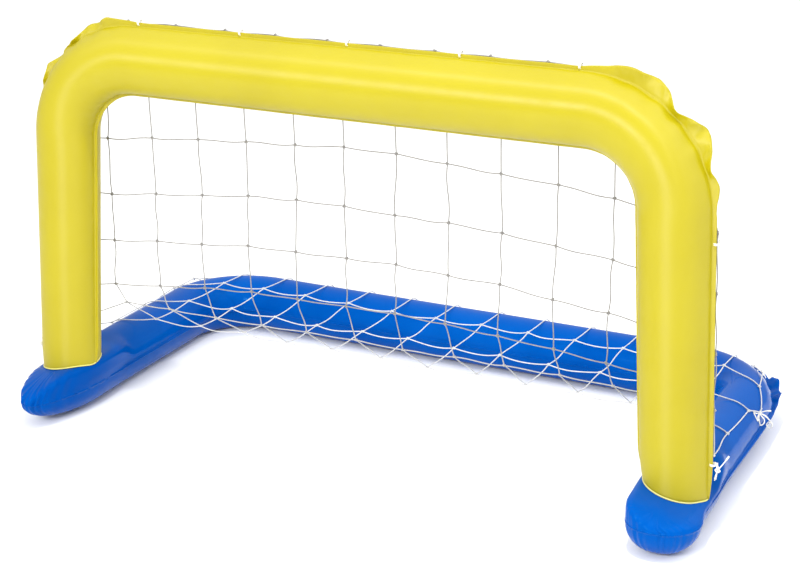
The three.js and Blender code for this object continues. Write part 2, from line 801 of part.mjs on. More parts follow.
function netKnots(net) {
  const places = [];
  for (let i = 0; i <= lastRow; i++) {
    places.push([]);
    for (let j = 0; j <= lastColumn; j++) places[i].push(clearOfTubes(knotPlace(i, j)));
  }
  return places.map((row, i) => row.map((centre, j) => {
    const above = places[Math.max(i - 1, 0)][j];
    const below = places[Math.min(i + 1, lastRow)][j];
    const alongRow = row[Math.min(j + 1, lastColumn)].clone().sub(row[Math.max(j - 1, 0)]);
    return net.addKnot(centre, alongRow, below.clone().sub(above));
  }));
}

function netGeometry() {
  const net = new NetMesh();
  const knots = netKnots(net);
  knots.forEach((row, i) => row.forEach((knot, j) => {
    const beside = row[j + 1];
    const below = knots[i + 1]?.[j];
    net.addQuad(outerFace(knot));
    net.addQuad(innerFace(knot));
    if (beside) net.addStrand(knot, beside, rowFace(knot, 1), rowFace(beside, -1), rowSigns);
    else net.addQuad(rowFace(knot, 1));
    if (below) net.addStrand(knot, below, columnFace(knot, 1), columnFace(below, -1), columnSigns);
    else net.addQuad(columnFace(knot, 1));
    if (j === 0) net.addQuad(rowFace(knot, -1).reverse());
    if (i === 0) net.addQuad(columnFace(knot, -1).reverse());
  }));
  return indexed(net.positions, net.faces);
}

// Assembly

function punched(solid, ties, valveFrames = []) {
  for (const frame of ties.values()) solid = solid.subtract(eyeletCutter(frame));
  for (const frame of valveFrames) solid = solid.subtract(valveHole(frame));
  return geometryOf(solid);
}

const archValve = archValveFrame();
const baseValve = baseValveFrame();
addMesh('arch_front_panel', punched(archPanel(-1), archTies), yellow);
addMesh('arch_rear_panel', punched(archPanel(1), archTies, [archValve.frame]), yellow);
addMesh('base_top_panel', punched(basePanel(1), baseTies, [baseValve.frame]), blue);
addMesh('base_bottom_panel', punched(basePanel(-1), baseTies), blue);
addMesh('net', netGeometry(), white);
for (const [name, frame] of archTies) addMesh(name, tieGeometry(frame, -tailLeanShare), white);
for (const [name, frame] of baseTies) addMesh(name, tieGeometry(frame, tailLeanShare), white);
addValve('arch', archValve.frame, archValve.radius);
addValve('base', baseValve.frame, baseValve.radius);
goal.position.y = -new THREE.Box3().setFromObject(goal).getCenter(new THREE.Vector3()).y;

export default goal;
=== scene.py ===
# Looks of the inflatable water polo goal: vinyl tubes with ruffled seams, a knotted net, ties and valves.
# Metres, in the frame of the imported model: +X along the crossbar, +Y to the rear tube, +Z up.
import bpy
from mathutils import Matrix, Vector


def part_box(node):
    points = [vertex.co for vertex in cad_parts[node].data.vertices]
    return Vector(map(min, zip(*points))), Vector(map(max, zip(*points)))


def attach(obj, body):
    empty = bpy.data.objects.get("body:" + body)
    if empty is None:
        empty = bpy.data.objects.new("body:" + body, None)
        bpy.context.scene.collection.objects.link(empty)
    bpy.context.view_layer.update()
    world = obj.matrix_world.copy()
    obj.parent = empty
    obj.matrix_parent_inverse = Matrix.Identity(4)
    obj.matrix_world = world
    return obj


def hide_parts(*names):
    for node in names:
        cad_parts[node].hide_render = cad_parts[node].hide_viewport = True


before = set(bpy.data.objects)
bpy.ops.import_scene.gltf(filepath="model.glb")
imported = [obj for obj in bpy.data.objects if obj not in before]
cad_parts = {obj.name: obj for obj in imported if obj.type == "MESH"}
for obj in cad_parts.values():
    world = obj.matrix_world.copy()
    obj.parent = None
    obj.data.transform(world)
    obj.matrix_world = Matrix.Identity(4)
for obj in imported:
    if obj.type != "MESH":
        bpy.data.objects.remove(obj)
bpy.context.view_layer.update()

import copy
import math
import random

import bmesh
import bpy
import numpy as np
from mathutils import Matrix, Vector

random.seed(7)

# Arch
POST_SPACING = 1.200
CROSSBAR_HEIGHT = 0.726
ARCH_BEND = 0.160
CROSSBAR_RADIUS = 0.0603
POST_FOOT_RADIUS = 0.057
POST_SPLAY = math.radians(3)

# Base
BASE_SPACING = 1.26092
BASE_DEPTH = 0.578
BASE_BEND = 0.148
BASE_RADIUS = 0.0577
BASE_HEIGHT = BASE_RADIUS * math.cos(math.radians(15))
FOOT_REACH = 0.148

# Seams
SHEET = 0.0009
FLANGE = 0.012
INNER_FLANGE = 0.006
FOOT_FLANGE = 0.0001
FOOT_GAP = 0.00003
SEAM_PEAK = 0.0045
SADDLE_LOW = 0.004
SADDLE_BLEND_HEIGHT = 0.175
WELD_LIP = 0.0014
CRUMPLE = 0.0022

# Net
CORD = 0.0022
COLUMNS = 14
COLUMN_PITCH = 0.10308
NET_SHIFT = 0.010
CURTAIN_BEHIND = 0.070
ROW_HEIGHTS = (0.588, 0.4775, 0.379, 0.2865)
ROW_DROP = 0.0455
BEND_ROW = (0.104, 0.203)
FLOOR_ROWS = ((0.211, 0.1294), (0.339, 0.1244), (0.484, 0.1234))
EDGE_HEIGHTS = (0.540, 0.435, 0.329, 0.228, 0.146)
SIDE_EDGE_KNOTS = ((0.664, 0.201, 0.105), (0.669, 0.330, 0.101), (0.661, 0.441, 0.107), (0.651, 0.508, 0.112))
BOW_KNOT = (0.6810, 0.371, 0.0835)
NET_CLEARANCE = 0.0036

# Ties
TIE_CORD = 0.0019
TIE_RADIUS = 0.0065
TIE_SHIFT = 0.003
CROSSBAR_TIE_SPACING = 0.214
REAR_TIE_SPACING = 0.212
UPPER_TIE_HEIGHT = 0.522
FOOT_TIE_HEIGHT = 0.130
SIDE_TIE_BEHIND = 0.380
CORNER_TIE_SHARE = 7 / 18
BOW_LOOP_RADIUS = 0.0082

# Valves
VALVE_FLANGE_RADIUS = 0.016
NECK_RADIUS = 0.0065
NECK_WALL = 0.002
NECK_DEPTH = 0.014
RIM_HEIGHT = 0.003
PLUG_HEAD_RADIUS = 0.0072
PLUG_HEAD = 0.0026
PLUG_STEM = 0.008
FLAP = 0.0009
STRAP_WIDTH = 0.004
RUNNING_GAP = 0.0003
ARCH_VALVE_HEIGHT = 0.385
BASE_VALVE_ALONG = 0.434
BASE_VALVE_TILT = math.radians(45)

# The arch's middle plane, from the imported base, whose feet reach ahead of it
CAD_FOOT_FLANGE = 0.005
PLANE_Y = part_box("base_top_panel")[0].y + FOOT_REACH + CAD_FOOT_FLANGE


def vec(x, y, z):
    return np.array((x, y, z), float)


def unit(v):
    return v / np.linalg.norm(v)


def smooth(t):
    t = min(max(t, 0.0), 1.0)
    return t * t * (3 - 2 * t)


def bell(t):
    return math.sin(math.pi * min(max(t, 0.0), 1.0))


def curve_at(points, x):
    """A smooth curve through a few (place, value) points"""
    last = len(points) - 1
    if x <= points[0][0]:
        return points[0][1]
    if x >= points[last][0]:
        return points[last][1]
    i = next(i for i in range(last) if x <= points[i + 1][0])
    slopes = []
    for k in (i, i + 1):
        before, after = points[max(k - 1, 0)], points[min(k + 1, last)]
        slopes.append((after[1] - before[1]) / (after[0] - before[0]))
    span = points[i + 1][0] - points[i][0]
    t = (x - points[i][0]) / span
    rise = points[i + 1][1] - points[i][1]
    cubic = (slopes[0] + slopes[1]) * span - 2 * rise
    square = 3 * rise - (2 * slopes[0] + slopes[1]) * span
    return points[i][1] + slopes[0] * span * t + square * t ** 2 + cubic * t ** 3


def waver(x, scale, seed):
    """A smooth wandering value between about -1 and 1"""
    total = 0.0
    for k, weight in enumerate((0.5, 0.3, 0.2)):
        total += weight * math.sin(x / scale * (1.0 + 0.73 * k) + seed * (2.1 + k))
    return total


# Meshes

def add_object(name, verts, faces, merge=0.0):
    mesh = bpy.data.meshes.new(name)
    mesh.from_pydata([tuple(v) for v in verts], [], faces)
    work = bmesh.new()
    work.from_mesh(mesh)
    if merge:
        bmesh.ops.remove_doubles(work, verts=work.verts, dist=merge)
    bmesh.ops.recalc_face_normals(work, faces=work.faces)
    work.to_mesh(mesh)
    work.free()
    mesh.shade_smooth()
    obj = bpy.data.objects.new(name, mesh)
    bpy.context.scene.collection.objects.link(obj)
    return obj


def grid_faces(rows, columns, loop=False):
    faces = []
    for i in range(rows if loop else rows - 1):
        for k in range(columns - 1):
            a = i * columns + k
            b = (i + 1) % rows * columns + k
            faces.append((a, b, b + 1, a + 1))
    return faces


def thicken(obj, thickness, outwards):
    """Turns an outer surface into a closed sheet, which grows away from the side it faces"""
    normals = np.array([face.normal * face.area for face in obj.data.polygons])
    if np.dot(normals.sum(axis=0), outwards) < 0:
        obj.data.flip_normals()
    wall = obj.modifiers.new("sheet", "SOLIDIFY")
    wall.thickness = thickness
    wall.offset = -1
    wall.use_rim = True


def ring_faces(rings, sides, closed=False):
    """Faces between rings of verts, each ring closed on itself"""
    faces = []
    for i in range(rings if closed else rings - 1):
        j = (i + 1) % rings
        for k in range(sides):
            after = (k + 1) % sides
            faces.append((i * sides + k, i * sides + after, j * sides + after, j * sides + k))
    return faces


class Soup:
    """Verts and faces gathered from many small shapes"""

    def __init__(self):
        self.verts = []
        self.faces = []

    def add(self, verts, faces):
        start = len(self.verts)
        self.verts.extend(verts)
        self.faces.extend(tuple(start + i for i in face) for face in faces)

    def tube(self, path, radius, sides=8, closed=False):
        """A round tube along a path"""
        path = [np.asarray(p, float) for p in path]
        count = len(path)
        radii = radius if callable(radius) else (lambda share: radius)
        tangent = unit(path[1] - path[0])
        across = unit(np.cross(tangent, (0.31, 0.52, 0.79)))
        verts = []
        for i, point in enumerate(path):
            ahead = path[(i + 1) % count] if closed else path[min(i + 1, count - 1)]
            behind = path[(i - 1) % count] if closed else path[max(i - 1, 0)]
            tangent = unit(ahead - behind)
            across = unit(across - tangent * np.dot(across, tangent))
            up = np.cross(tangent, across)
            reach = radii(i / max(count - 1, 1))
            for k in range(sides):
                turn = 2 * math.pi * k / sides
                verts.append(point + reach * (math.cos(turn) * across + math.sin(turn) * up))
        faces = ring_faces(count, sides, closed)
        if not closed:
            faces.append(tuple(range(sides - 1, -1, -1)))
            faces.append(tuple((count - 1) * sides + k for k in range(sides)))
        self.add(verts, faces)

    def make(self, name):
        return add_object(name, self.verts, self.faces)


def curved(points, steps):
    """A smooth path through the points"""
    points = [np.asarray(p, float) for p in points]
    ends = [2 * points[0] - points[1]] + points + [2 * points[-1] - points[-2]]
    path = []
    for i in range(1, len(ends) - 2):
        a, b, c, d = ends[i - 1:i + 3]
        for k in range(steps):
            t = k / steps
            path.append(0.5 * (2 * b + (c - a) * t + (2 * a - 5 * b + 4 * c - d) * t ** 2
                               + (3 * b - a - 3 * c + d) * t ** 3))
    path.append(points[-1])
    return path


# How the ties' bows and tails hang on the right side, as seen in the photo
BOW_LOOPS = (vec(-0.0075, -0.0230, -0.0020), vec(0.0060, -0.0140, -0.0100))
SIDE_TAIL = vec(0.020, 0.010, 0.004)
FOOT_KNOT = vec(0.008, 0.004, -0.010)
FOOT_PADDLE = vec(0.016, 0.008, 0.026)


# Stations along the tubes

class Station:
    """A place along a tube: its centre and outer seam's direction, and how its skin and flanges stand there"""

    def __init__(self, centre, out, radius):
        self.centre, self.out, self.radius = centre, out, radius
        self.wide, self.inner = FLANGE, INNER_FLANGE
        self.lean = self.ripple = self.pucker = self.crease = 0.0
        self.peak = SEAM_PEAK
        self.gap = SHEET

    def mirrored(self):
        twin = copy.copy(self)
        twin.centre, twin.out = self.centre * (-1, 1, 1), self.out * (-1, 1, 1)
        return twin


def base_station(centre, out):
    station = Station(centre, out, BASE_RADIUS)
    station.peak = 0.0
    return station


POST_DOWN = vec(math.sin(POST_SPLAY), 0, -math.cos(POST_SPLAY))
POST_OUT = vec(math.cos(POST_SPLAY), 0, math.sin(POST_SPLAY))
ARCH_BEND_CENTRE = vec(POST_SPACING / 2 - ARCH_BEND, PLANE_Y, CROSSBAR_HEIGHT - ARCH_BEND)
POST_TOP = ARCH_BEND_CENTRE + POST_OUT * ARCH_BEND
FOOT_DROP = POST_TOP[2] - BASE_HEIGHT
BASE_BEND_CENTRE = vec(BASE_SPACING / 2 - BASE_BEND, PLANE_Y + BASE_DEPTH - BASE_BEND, BASE_HEIGHT)

# Stations along each stretch of a tube
STRAIGHT_STEPS = 44
BEND_STEPS = 110
POST_STEPS = 46
SIDE_STEPS = 48
FOOT_STEPS = 120
LANDING_STEPS = 16

# How far the seam stands out past the tube along a bend, from the crossbar or rear side to the post or side
RIGHT_SCALLOPS = (
    (0.0, 0.0135), (0.06, 0.0165), (0.10, 0.0192), (0.16, 0.0272), (0.22, 0.0320), (0.29, 0.0315),
    (0.34, 0.0322), (0.38, 0.0295), (0.42, 0.0235), (0.46, 0.0175), (0.50, 0.0163), (0.54, 0.0222),
    (0.60, 0.0302), (0.65, 0.0320), (0.70, 0.0285), (0.76, 0.0178), (0.80, 0.0138), (0.84, 0.0168),
    (0.88, 0.0192), (0.92, 0.0165), (0.96, 0.0125), (1.0, 0.0110),
)
LEFT_SCALLOPS = (
    (0.0, 0.0130), (0.06, 0.0155), (0.12, 0.0200), (0.155, 0.0235), (0.18, 0.0220), (0.22, 0.0175),
    (0.28, 0.0198), (0.33, 0.0165), (0.38, 0.0105), (0.44, 0.0090), (0.56, 0.0100), (0.60, 0.0145),
    (0.64, 0.0190), (0.68, 0.0135), (0.72, 0.0110), (1.0, 0.0110),
)
CORNER_SCALLOPS = (
    (0.0, 0.012), (0.10, 0.016), (0.18, 0.020), (0.25, 0.013), (0.33, 0.018), (0.40, 0.015),
    (0.48, 0.022), (0.54, 0.021), (0.61, 0.026), (0.68, 0.019), (0.73, 0.020), (0.80, 0.012),
    (0.86, 0.009), (0.92, 0.006), (1.0, 0.006),
)
ARCH_RUFFLE = {"lean": 0.0, "waves": 3.5, "height": 0.009, "pucker": 0.0025}
CORNER_RUFFLE = {"lean": 0.018, "waves": 5.5, "height": 0.006, "pucker": 0.0035}
RIGHT_ARCH_PHASE = 0.3
LEFT_ARCH_PHASE = 2.0
RIGHT_CORNER_PHASE = 0.0
LEFT_CORNER_PHASE = 1.6

# The tubes' front ends: the left one tapers, the right one is blunt. Each is pressed down under its post
# to a height above the seam, with a tilt towards the outside, and bulges out ahead of the post.
LEFT_FOOT = {"reach": 0.151, "length": 0.185, "fullness": 2.0, "height": 0.043, "tilt": 0.17,
             "bulge": 0.0, "shoulder": 0.08}
RIGHT_FOOT = {"reach": 0.1435, "length": 0.062, "fullness": 2.5, "height": 0.026, "tilt": 0.25,
              "bulge": 0.20, "shoulder": 0.0}
PRESSED_POWER = 9
PRESSED_SPREAD = 0.08
PRESSED_FROM = 0.03
PRESSED_SPAN = 0.12
PRESSED_TO = 0.15
SHOULDER_RISE = 0.018
POST_PINCH = 0.0068
FOOT_PUCKER = 0.0021
PUCKER_REACH = 0.95
SIDE_FLANGES = (
    (-0.03, FOOT_FLANGE), (0.05, 0.0015), (0.15, 0.0040), (0.25, 0.0060), (0.35, 0.0075), (0.43, 0.0060),
)


def foot_of(hand):
    return RIGHT_FOOT if hand > 0 else LEFT_FOOT


def side_radius(behind, hand):
    """The side tube's radius, which shrinks along its foot"""
    foot = foot_of(hand)
    over = (foot["length"] - foot["reach"] - behind) / foot["length"]
    if over <= 0:
        return BASE_RADIUS
    return BASE_RADIUS * (1 - min(over, 0.999) ** foot["fullness"]) ** (1 / foot["fullness"])


def pressing(behind):
    """How much a post presses on its side tube, from 1 under and ahead of it to 0 behind it"""
    return 1 - smooth((behind - PRESSED_FROM) / PRESSED_SPAN)


def widened(outward, behind, hand):
    """How much wider the side tube gets where it is pressed"""
    bulge = foot_of(hand)["bulge"] * math.exp(-((behind + 0.085) / 0.040) ** 2) if outward > 0 else 0.0
    return 1 + PRESSED_SPREAD * pressing(behind) * math.exp(-(min(behind, 0) / 0.07) ** 2) + bulge


def shoulder(outward, behind, hand):
    """How much the post's weld pulls the tube's inner side out above the seam"""
    if outward >= 0:
        return 0.0
    return foot_of(hand)["shoulder"] * pressing(behind) * math.exp(-(min(behind, 0) / 0.06) ** 2)


def section(outward, behind, hand, raised):
    """The side tube's own radius, and its upper half's width, height and squareness where it is pressed"""
    foot = foot_of(hand)
    own = side_radius(behind, hand)
    weight = pressing(behind)
    width = own * (widened(outward, behind, hand) + shoulder(outward, behind, hand) * raised)
    crown = foot["height"] * min(1, own / side_radius(-POST_FOOT_RADIUS, hand))
    height = own * (1 - weight) + (crown - foot["tilt"] * outward) * weight
    return own, width, height, 2 + (PRESSED_POWER - 2) * weight


def pressed(outward, behind, hand):
    """How far the side tube's upper surface stands above the seam, under the post and around it"""
    _, width, height, power = section(outward, behind, hand, 1.0)
    share = min(abs(outward) / width, 0.999)
    return height * (1 - share ** power) ** (1 / power)


def squashed(point):
    """A point of the base's skin, moved as the post's weight and weld move the tube"""
    hand = math.copysign(1, point[0])
    behind = point[1] - PLANE_Y
    if behind > PRESSED_TO:
        return point
    outward = hand * point[0] - BASE_SPACING / 2
    height = point[2] - BASE_HEIGHT
    if height > 0:
        reach = math.hypot(outward, height)
        aside, above = outward / reach, height / reach
        moved = outward
        for _ in range(4):
            own, width, top, power = section(moved, behind, hand, smooth(height / SHOULDER_RISE))
            ray = ((abs(aside) / width) ** power + (above / top) ** power) ** (-1 / power)
            moved = aside * ray
        outward, height = aside * ray * reach / own, above * ray * reach / own
    else:
        outward *= widened(outward, behind, hand)
    return vec(hand * (BASE_SPACING / 2 + outward), point[1], BASE_HEIGHT + height)


def ruffled(station, share, scallops, phase, lean, waves, height, pucker):
    """Gives a station of a bend its standing, waving seam"""
    swell = bell((share - 0.04) / 0.92)
    wave = 2 * math.pi * waves * share + phase
    station.wide = curve_at(scallops, share)
    station.ripple = swell * height * (math.sin(wave) + 0.25 * math.sin(2.7 * wave + 1.0))
    station.lean = swell * lean
    station.pucker = swell * pucker * (0.5 - 0.5 * math.cos(2 * wave + 0.6))
    station.crease = swell
    return station


def post_at(height):
    share = (POST_TOP[2] - height) / FOOT_DROP
    centre = POST_TOP + POST_DOWN * (share * FOOT_DROP / math.cos(POST_SPLAY))
    radius = CROSSBAR_RADIUS + (POST_FOOT_RADIUS - CROSSBAR_RADIUS) * share
    return Station(centre, POST_OUT, radius)


def arch_half(scallops, phase):
    stations = []
    for i in range(STRAIGHT_STEPS):
        along = ARCH_BEND_CENTRE[0] * i / STRAIGHT_STEPS
        stations.append(Station(vec(along, PLANE_Y, CROSSBAR_HEIGHT), vec(0, 0, 1), CROSSBAR_RADIUS))
    for i in range(BEND_STEPS + 1):
        share = i / BEND_STEPS
        angle = math.pi / 2 + (POST_SPLAY - math.pi / 2) * share
        out = vec(math.cos(angle), 0, math.sin(angle))
        station = Station(ARCH_BEND_CENTRE + out * ARCH_BEND, out, CROSSBAR_RADIUS)
        stations.append(ruffled(station, share, scallops, phase, **ARCH_RUFFLE))
    for i in range(1, POST_STEPS + 1):
        height = POST_TOP[2] + (SADDLE_BLEND_HEIGHT - POST_TOP[2]) * i / POST_STEPS
        stations.append(post_at(height))
    return stations


def arch_stations():
    right = arch_half(RIGHT_SCALLOPS, RIGHT_ARCH_PHASE)
    left = [s.mirrored() for s in arch_half(LEFT_SCALLOPS, LEFT_ARCH_PHASE)]
    return left[::-1] + right[1:]


def base_bend_at(share, phase):
    angle = share * math.pi / 2
    out = vec(math.sin(angle), math.cos(angle), 0)
    station = base_station(BASE_BEND_CENTRE + out * BASE_BEND, out)
    return ruffled(station, share, CORNER_SCALLOPS, phase, **CORNER_RUFFLE)


def base_half(phase, foot):
    stations = []
    for i in range(STRAIGHT_STEPS):
        along = BASE_BEND_CENTRE[0] * i / STRAIGHT_STEPS
        stations.append(base_station(vec(along, PLANE_Y + BASE_DEPTH, BASE_HEIGHT), vec(0, 1, 0)))
    for i in range(BEND_STEPS + 1):
        stations.append(base_bend_at(i / BEND_STEPS, phase))
    front = PLANE_Y + foot["length"] - foot["reach"]
    for i in range(1, SIDE_STEPS + 1):
        behind = BASE_BEND_CENTRE[1] + (front - BASE_BEND_CENTRE[1]) * i / SIDE_STEPS
        station = base_station(vec(BASE_SPACING / 2, behind, BASE_HEIGHT), vec(1, 0, 0))
        narrowing = smooth(1 - (behind - front) / (2 * BASE_RADIUS))
        station.gap = SHEET + (FOOT_GAP - SHEET) * narrowing
        station.wide = curve_at(SIDE_FLANGES, behind - PLANE_Y)
        station.inner = INNER_FLANGE + (FOOT_FLANGE - INNER_FLANGE) * narrowing
        stations.append(station)
    return stations


def base_stations():
    left = [s.mirrored() for s in base_half(LEFT_CORNER_PHASE, LEFT_FOOT)]
    return left[::-1] + base_half(RIGHT_CORNER_PHASE, RIGHT_FOOT)[1:]


# The vinyl panels

FLANGE_STEPS = 7
INNER_FLANGE_STEPS = 3
SKIN_STEPS = 44
INNER_CREASE = 0.0011
CREASE_PITCH = 0.0046
SEAM_WAVER = 0.00045
FLANGE_WAVER = 0.0007
RIPPLE_PULL = 0.12
PANEL_SHEET = SHEET * 0.9


def skin_radius(station, place, turn):
    """Radius at a turn from the outward direction: drawn in where the seams pucker"""
    near_outer = math.exp(-(turn / 0.42) ** 2)
    near_inner = math.exp(-((math.pi - turn) / 0.5) ** 2)
    seam = min(turn, math.pi - turn)
    radius = station.radius * (1 + 0.004 * waver(place, 0.11, 1.7))
    radius += station.peak * math.exp(-(turn / 0.27) ** 2) - station.pucker * near_outer
    radius -= station.crease * INNER_CREASE * near_inner * (0.5 + 0.5 * math.sin(place / CREASE_PITCH))
    radius += SEAM_WAVER * math.exp(-(seam / 0.3) ** 2) * waver(place, 0.009, 4.2)
    return radius


def crumple(place, reach):
    """Small slanting folds across a wide flange, sharp at their tops"""
    slanted = math.sin((place + 0.010 * reach) / 0.0042) * math.sin((place - 0.016 * reach) / 0.0091 + 1.0)
    return reach * (1 - reach * 0.4) * (abs(slanted) ** 0.7 * 2 - 0.8)


def flange_at(station, reach, width, sign, pucker=0.0):
    """How far out and how far aside a flange stands, at a reach from 0 at the tube to 1 at its edge"""
    wave = station.ripple * reach ** 1.3 + station.lean * reach if sign > 0 else 0.0
    root = station.radius - pucker + (station.peak - station.pucker if sign > 0 else 0.0)
    return root + (station.radius + width - root) * reach, wave


def flange_point(station, lateral, place, reach, width, sign):
    ahead, wave = flange_at(station, reach, width, sign)
    wave += FLANGE_WAVER * reach * waver(place, 0.012, 2.4 * sign)
    if sign > 0:
        wave += CRUMPLE * station.crease * crumple(place, reach)
    return station.centre + station.out * (sign * ahead) + lateral * wave


def arch_ring(station, place, side):
    lateral = vec(0, 1, 0)
    ring = []
    for i in range(FLANGE_STEPS, 0, -1):
        point = flange_point(station, lateral, place, i / FLANGE_STEPS, station.wide, 1)
        ring.append(point + lateral * (side * SHEET))
    for i in range(SKIN_STEPS + 1):
        turn = math.pi * i / SKIN_STEPS
        radius = skin_radius(station, place, turn)
        near = math.exp(-(turn / 0.5) ** 2) * RIPPLE_PULL * station.ripple
        across = station.out * (radius * math.cos(turn))
        ring.append(station.centre + across + lateral * (side * (SHEET + radius * math.sin(turn)) + near))
    for i in range(1, INNER_FLANGE_STEPS + 1):
        point = flange_point(station, lateral, place, i / INNER_FLANGE_STEPS, station.inner, -1)
        ring.append(point + lateral * (side * SHEET))
    return ring


def landing_point(point, hand):
    """Where a line down the post meets the side tube"""
    outward = hand * point[0] - BASE_SPACING / 2
    height = pressed(outward, point[1] - PLANE_Y, hand)
    return vec(point[0], point[1], BASE_HEIGHT + 2 * SHEET + max(height, SADDLE_LOW))


def post_feet(ring, hand):
    """Rings from a post's last plain section down to the saddle on the side tube"""
    down = POST_DOWN * (hand, 1, 1)
    landing = []
    outer, inner = FLANGE_STEPS, FLANGE_STEPS + SKIN_STEPS
    middle = (ring[outer][0] + ring[inner][0]) / 2
    half = abs(ring[outer][0] - ring[inner][0]) / 2
    for k, point in enumerate(ring):
        edge = ring[outer] if k < outer else ring[inner] if k > inner else point
        beyond = unit(point - edge) * 0.0004 * max(outer - k, k - inner) if edge is not point else 0.0
        share = (BASE_HEIGHT + BASE_RADIUS * 0.6 - edge[2]) / down[2]
        pinch = vec(POST_PINCH * min((edge[0] - middle) / half, 0) ** 2, 0, 0)
        landing.append(landing_point(edge + down * share + pinch, hand) + beyond)
    rings = []
    for i in range(1, LANDING_STEPS + 1):
        share = i / LANDING_STEPS
        row = []
        for point, end in zip(ring, landing):
            straight = point + down * ((end[2] - point[2]) / down[2] * share)
            drawn = end - (point + down * ((end[2] - point[2]) / down[2]))
            row.append(straight + drawn * share ** 3)
        rings.append(row)
    return rings, landing


def arch_panel(name, side):
    stations = arch_stations()
    rings = []
    place = 0.0
    for i, station in enumerate(stations):
        if i:
            place += np.linalg.norm(station.centre - stations[i - 1].centre)
        rings.append(arch_ring(station, place, side))
    left, _ = post_feet(rings[0], -1)
    right, _ = post_feet(rings[-1], 1)
    rings = left[::-1] + rings + right
    verts = [point for ring in rings for point in ring]
    panel = add_object(name, verts, grid_faces(len(rings), len(rings[0])))
    thicken(panel, PANEL_SHEET, (0, side, 0))
    return panel


def base_rib(station, direction, width, side, place, sign, pucker):
    """Half a section of the base, from its crown to the seam's edge"""
    lateral = vec(0, 0, 1)
    rib = []
    for i in range(SKIN_STEPS // 2 + 1):
        turn = math.pi / 2 * i / (SKIN_STEPS // 2)
        from_seam = math.pi / 2 - turn
        outward = from_seam if sign > 0 else math.pi - from_seam
        radius = skin_radius(station, place, outward)
        fading = 1 - (2 * from_seam / math.pi) ** 4
        radius -= pucker * math.exp(-(from_seam / PUCKER_REACH) ** 2) * fading
        near = math.exp(-(from_seam / 0.5) ** 2) * RIPPLE_PULL * station.ripple if sign > 0 else 0.0
        height = side * (station.gap + radius * math.cos(turn)) + near
        height = max(height, -BASE_HEIGHT)
        rib.append(station.centre + direction * (radius * math.sin(turn)) + lateral * height)
    for i in range(1, FLANGE_STEPS + 1):
        ahead, wave = flange_at(station, i / FLANGE_STEPS, width, sign, pucker)
        rib.append(station.centre + direction * ahead + lateral * (side * station.gap + wave))
    return rib


def foot_ribs(station, out, side, place, foot):
    """Ribs round a foot's end, with small uneven puckers"""
    ribs = []
    for i in range(1, FOOT_STEPS):
        angle = math.pi * i / FOOT_STEPS
        aside = math.copysign(abs(math.cos(angle)) ** (2 / foot["fullness"]), math.cos(angle))
        forwards = math.sin(angle) ** (2 / foot["fullness"]) * foot["length"] / BASE_RADIUS
        direction = vec(aside * out[0], -forwards, 0)
        wave = 0.5 - 0.5 * math.cos(angle * 34 + 1.6 * math.sin(angle * 5))
        wave = wave * (0.65 + 0.35 * math.sin(angle * 11))
        width = FOOT_FLANGE / np.linalg.norm(direction)
        pucker = FOOT_PUCKER * wave * bell(i / FOOT_STEPS)
        ribs.append(base_rib(station, direction, width, side, place, -1, pucker))
    return ribs


def base_panel(name, side):
    stations = base_stations()
    places = [0.0]
    for a, b in zip(stations, stations[1:]):
        places.append(places[-1] + np.linalg.norm(b.centre - a.centre))
    outer = [base_rib(s, s.out, s.wide, side, p, 1, 0.0) for s, p in zip(stations, places)]
    inner = [base_rib(s, -s.out, s.inner, side, p, -1, 0.0) for s, p in zip(stations, places)]
    right_foot = foot_ribs(stations[-1], stations[-1].out, side, places[-1], RIGHT_FOOT)
    left_foot = foot_ribs(stations[0], -stations[0].out, side, places[0], LEFT_FOOT)
    ribs = outer + right_foot + inner[::-1] + left_foot
    verts = [squashed(point) for rib in ribs for point in rib]
    panel = add_object(name, verts, grid_faces(len(ribs), len(ribs[0]), loop=True), merge=1e-6)
    thicken(panel, PANEL_SHEET, (0, 0, side))
    return panel


def weld_lip(hand, name):
    """The thin welded rim where a post sits on its side tube"""
    stations = arch_stations()
    station = stations[-1] if hand > 0 else stations[0]
    rings = [arch_ring(station, 0.0, side) for side in (-1, 1)]
    paths = []
    for ring in rings:
        _, landing = post_feet(ring, hand)
        paths.append(landing[FLANGE_STEPS:FLANGE_STEPS + SKIN_STEPS + 1])
    loop = paths[0] + paths[1][::-1]
    lip = Soup()
    lip.tube(loop, WELD_LIP, closed=True)
    return lip.make(name)


# Seam places for ties and the net's border

def seam_edge(station, lateral):
    rise = lateral * (station.ripple + station.lean)
    edge = station.centre + station.out * (station.radius + station.wide) + rise
    out = unit(station.out * station.wide + rise)
    along = unit(np.cross(out, lateral))
    side = unit(np.cross(along, out))
    return {"edge": edge, "out": out, "side": side, "along": along}


def handed(station, hand):
    return station if hand > 0 else station.mirrored()


ALONG_Y = vec(0, 1, 0)
ALONG_Z = vec(0, 0, 1)


def crossbar_seam(along):
    return seam_edge(Station(vec(along, PLANE_Y, CROSSBAR_HEIGHT), vec(0, 0, 1), CROSSBAR_RADIUS), ALONG_Y)


def rear_seam(along):
    over = abs(along) - BASE_BEND_CENTRE[0]
    if over > 0:
        angle = math.asin(over / (BASE_BEND + BASE_RADIUS + 2 * FLANGE))
        return corner_seam(angle / (math.pi / 2), math.copysign(1, along))
    return seam_edge(base_station(vec(along, PLANE_Y + BASE_DEPTH, BASE_HEIGHT), vec(0, 1, 0)), ALONG_Z)


def post_seam(height, hand):
    return seam_edge(handed(post_at(height), hand), ALONG_Y)


def side_seam(behind, hand):
    station = base_station(vec(BASE_SPACING / 2, PLANE_Y + behind, BASE_HEIGHT), vec(1, 0, 0))
    return seam_edge(handed(station, hand), ALONG_Z)


def corner_seam(share, hand):
    station = base_bend_at(share, RIGHT_CORNER_PHASE if hand > 0 else LEFT_CORNER_PHASE)
    return seam_edge(handed(station, hand), ALONG_Z)


BORDER_LIFT = 0.0053


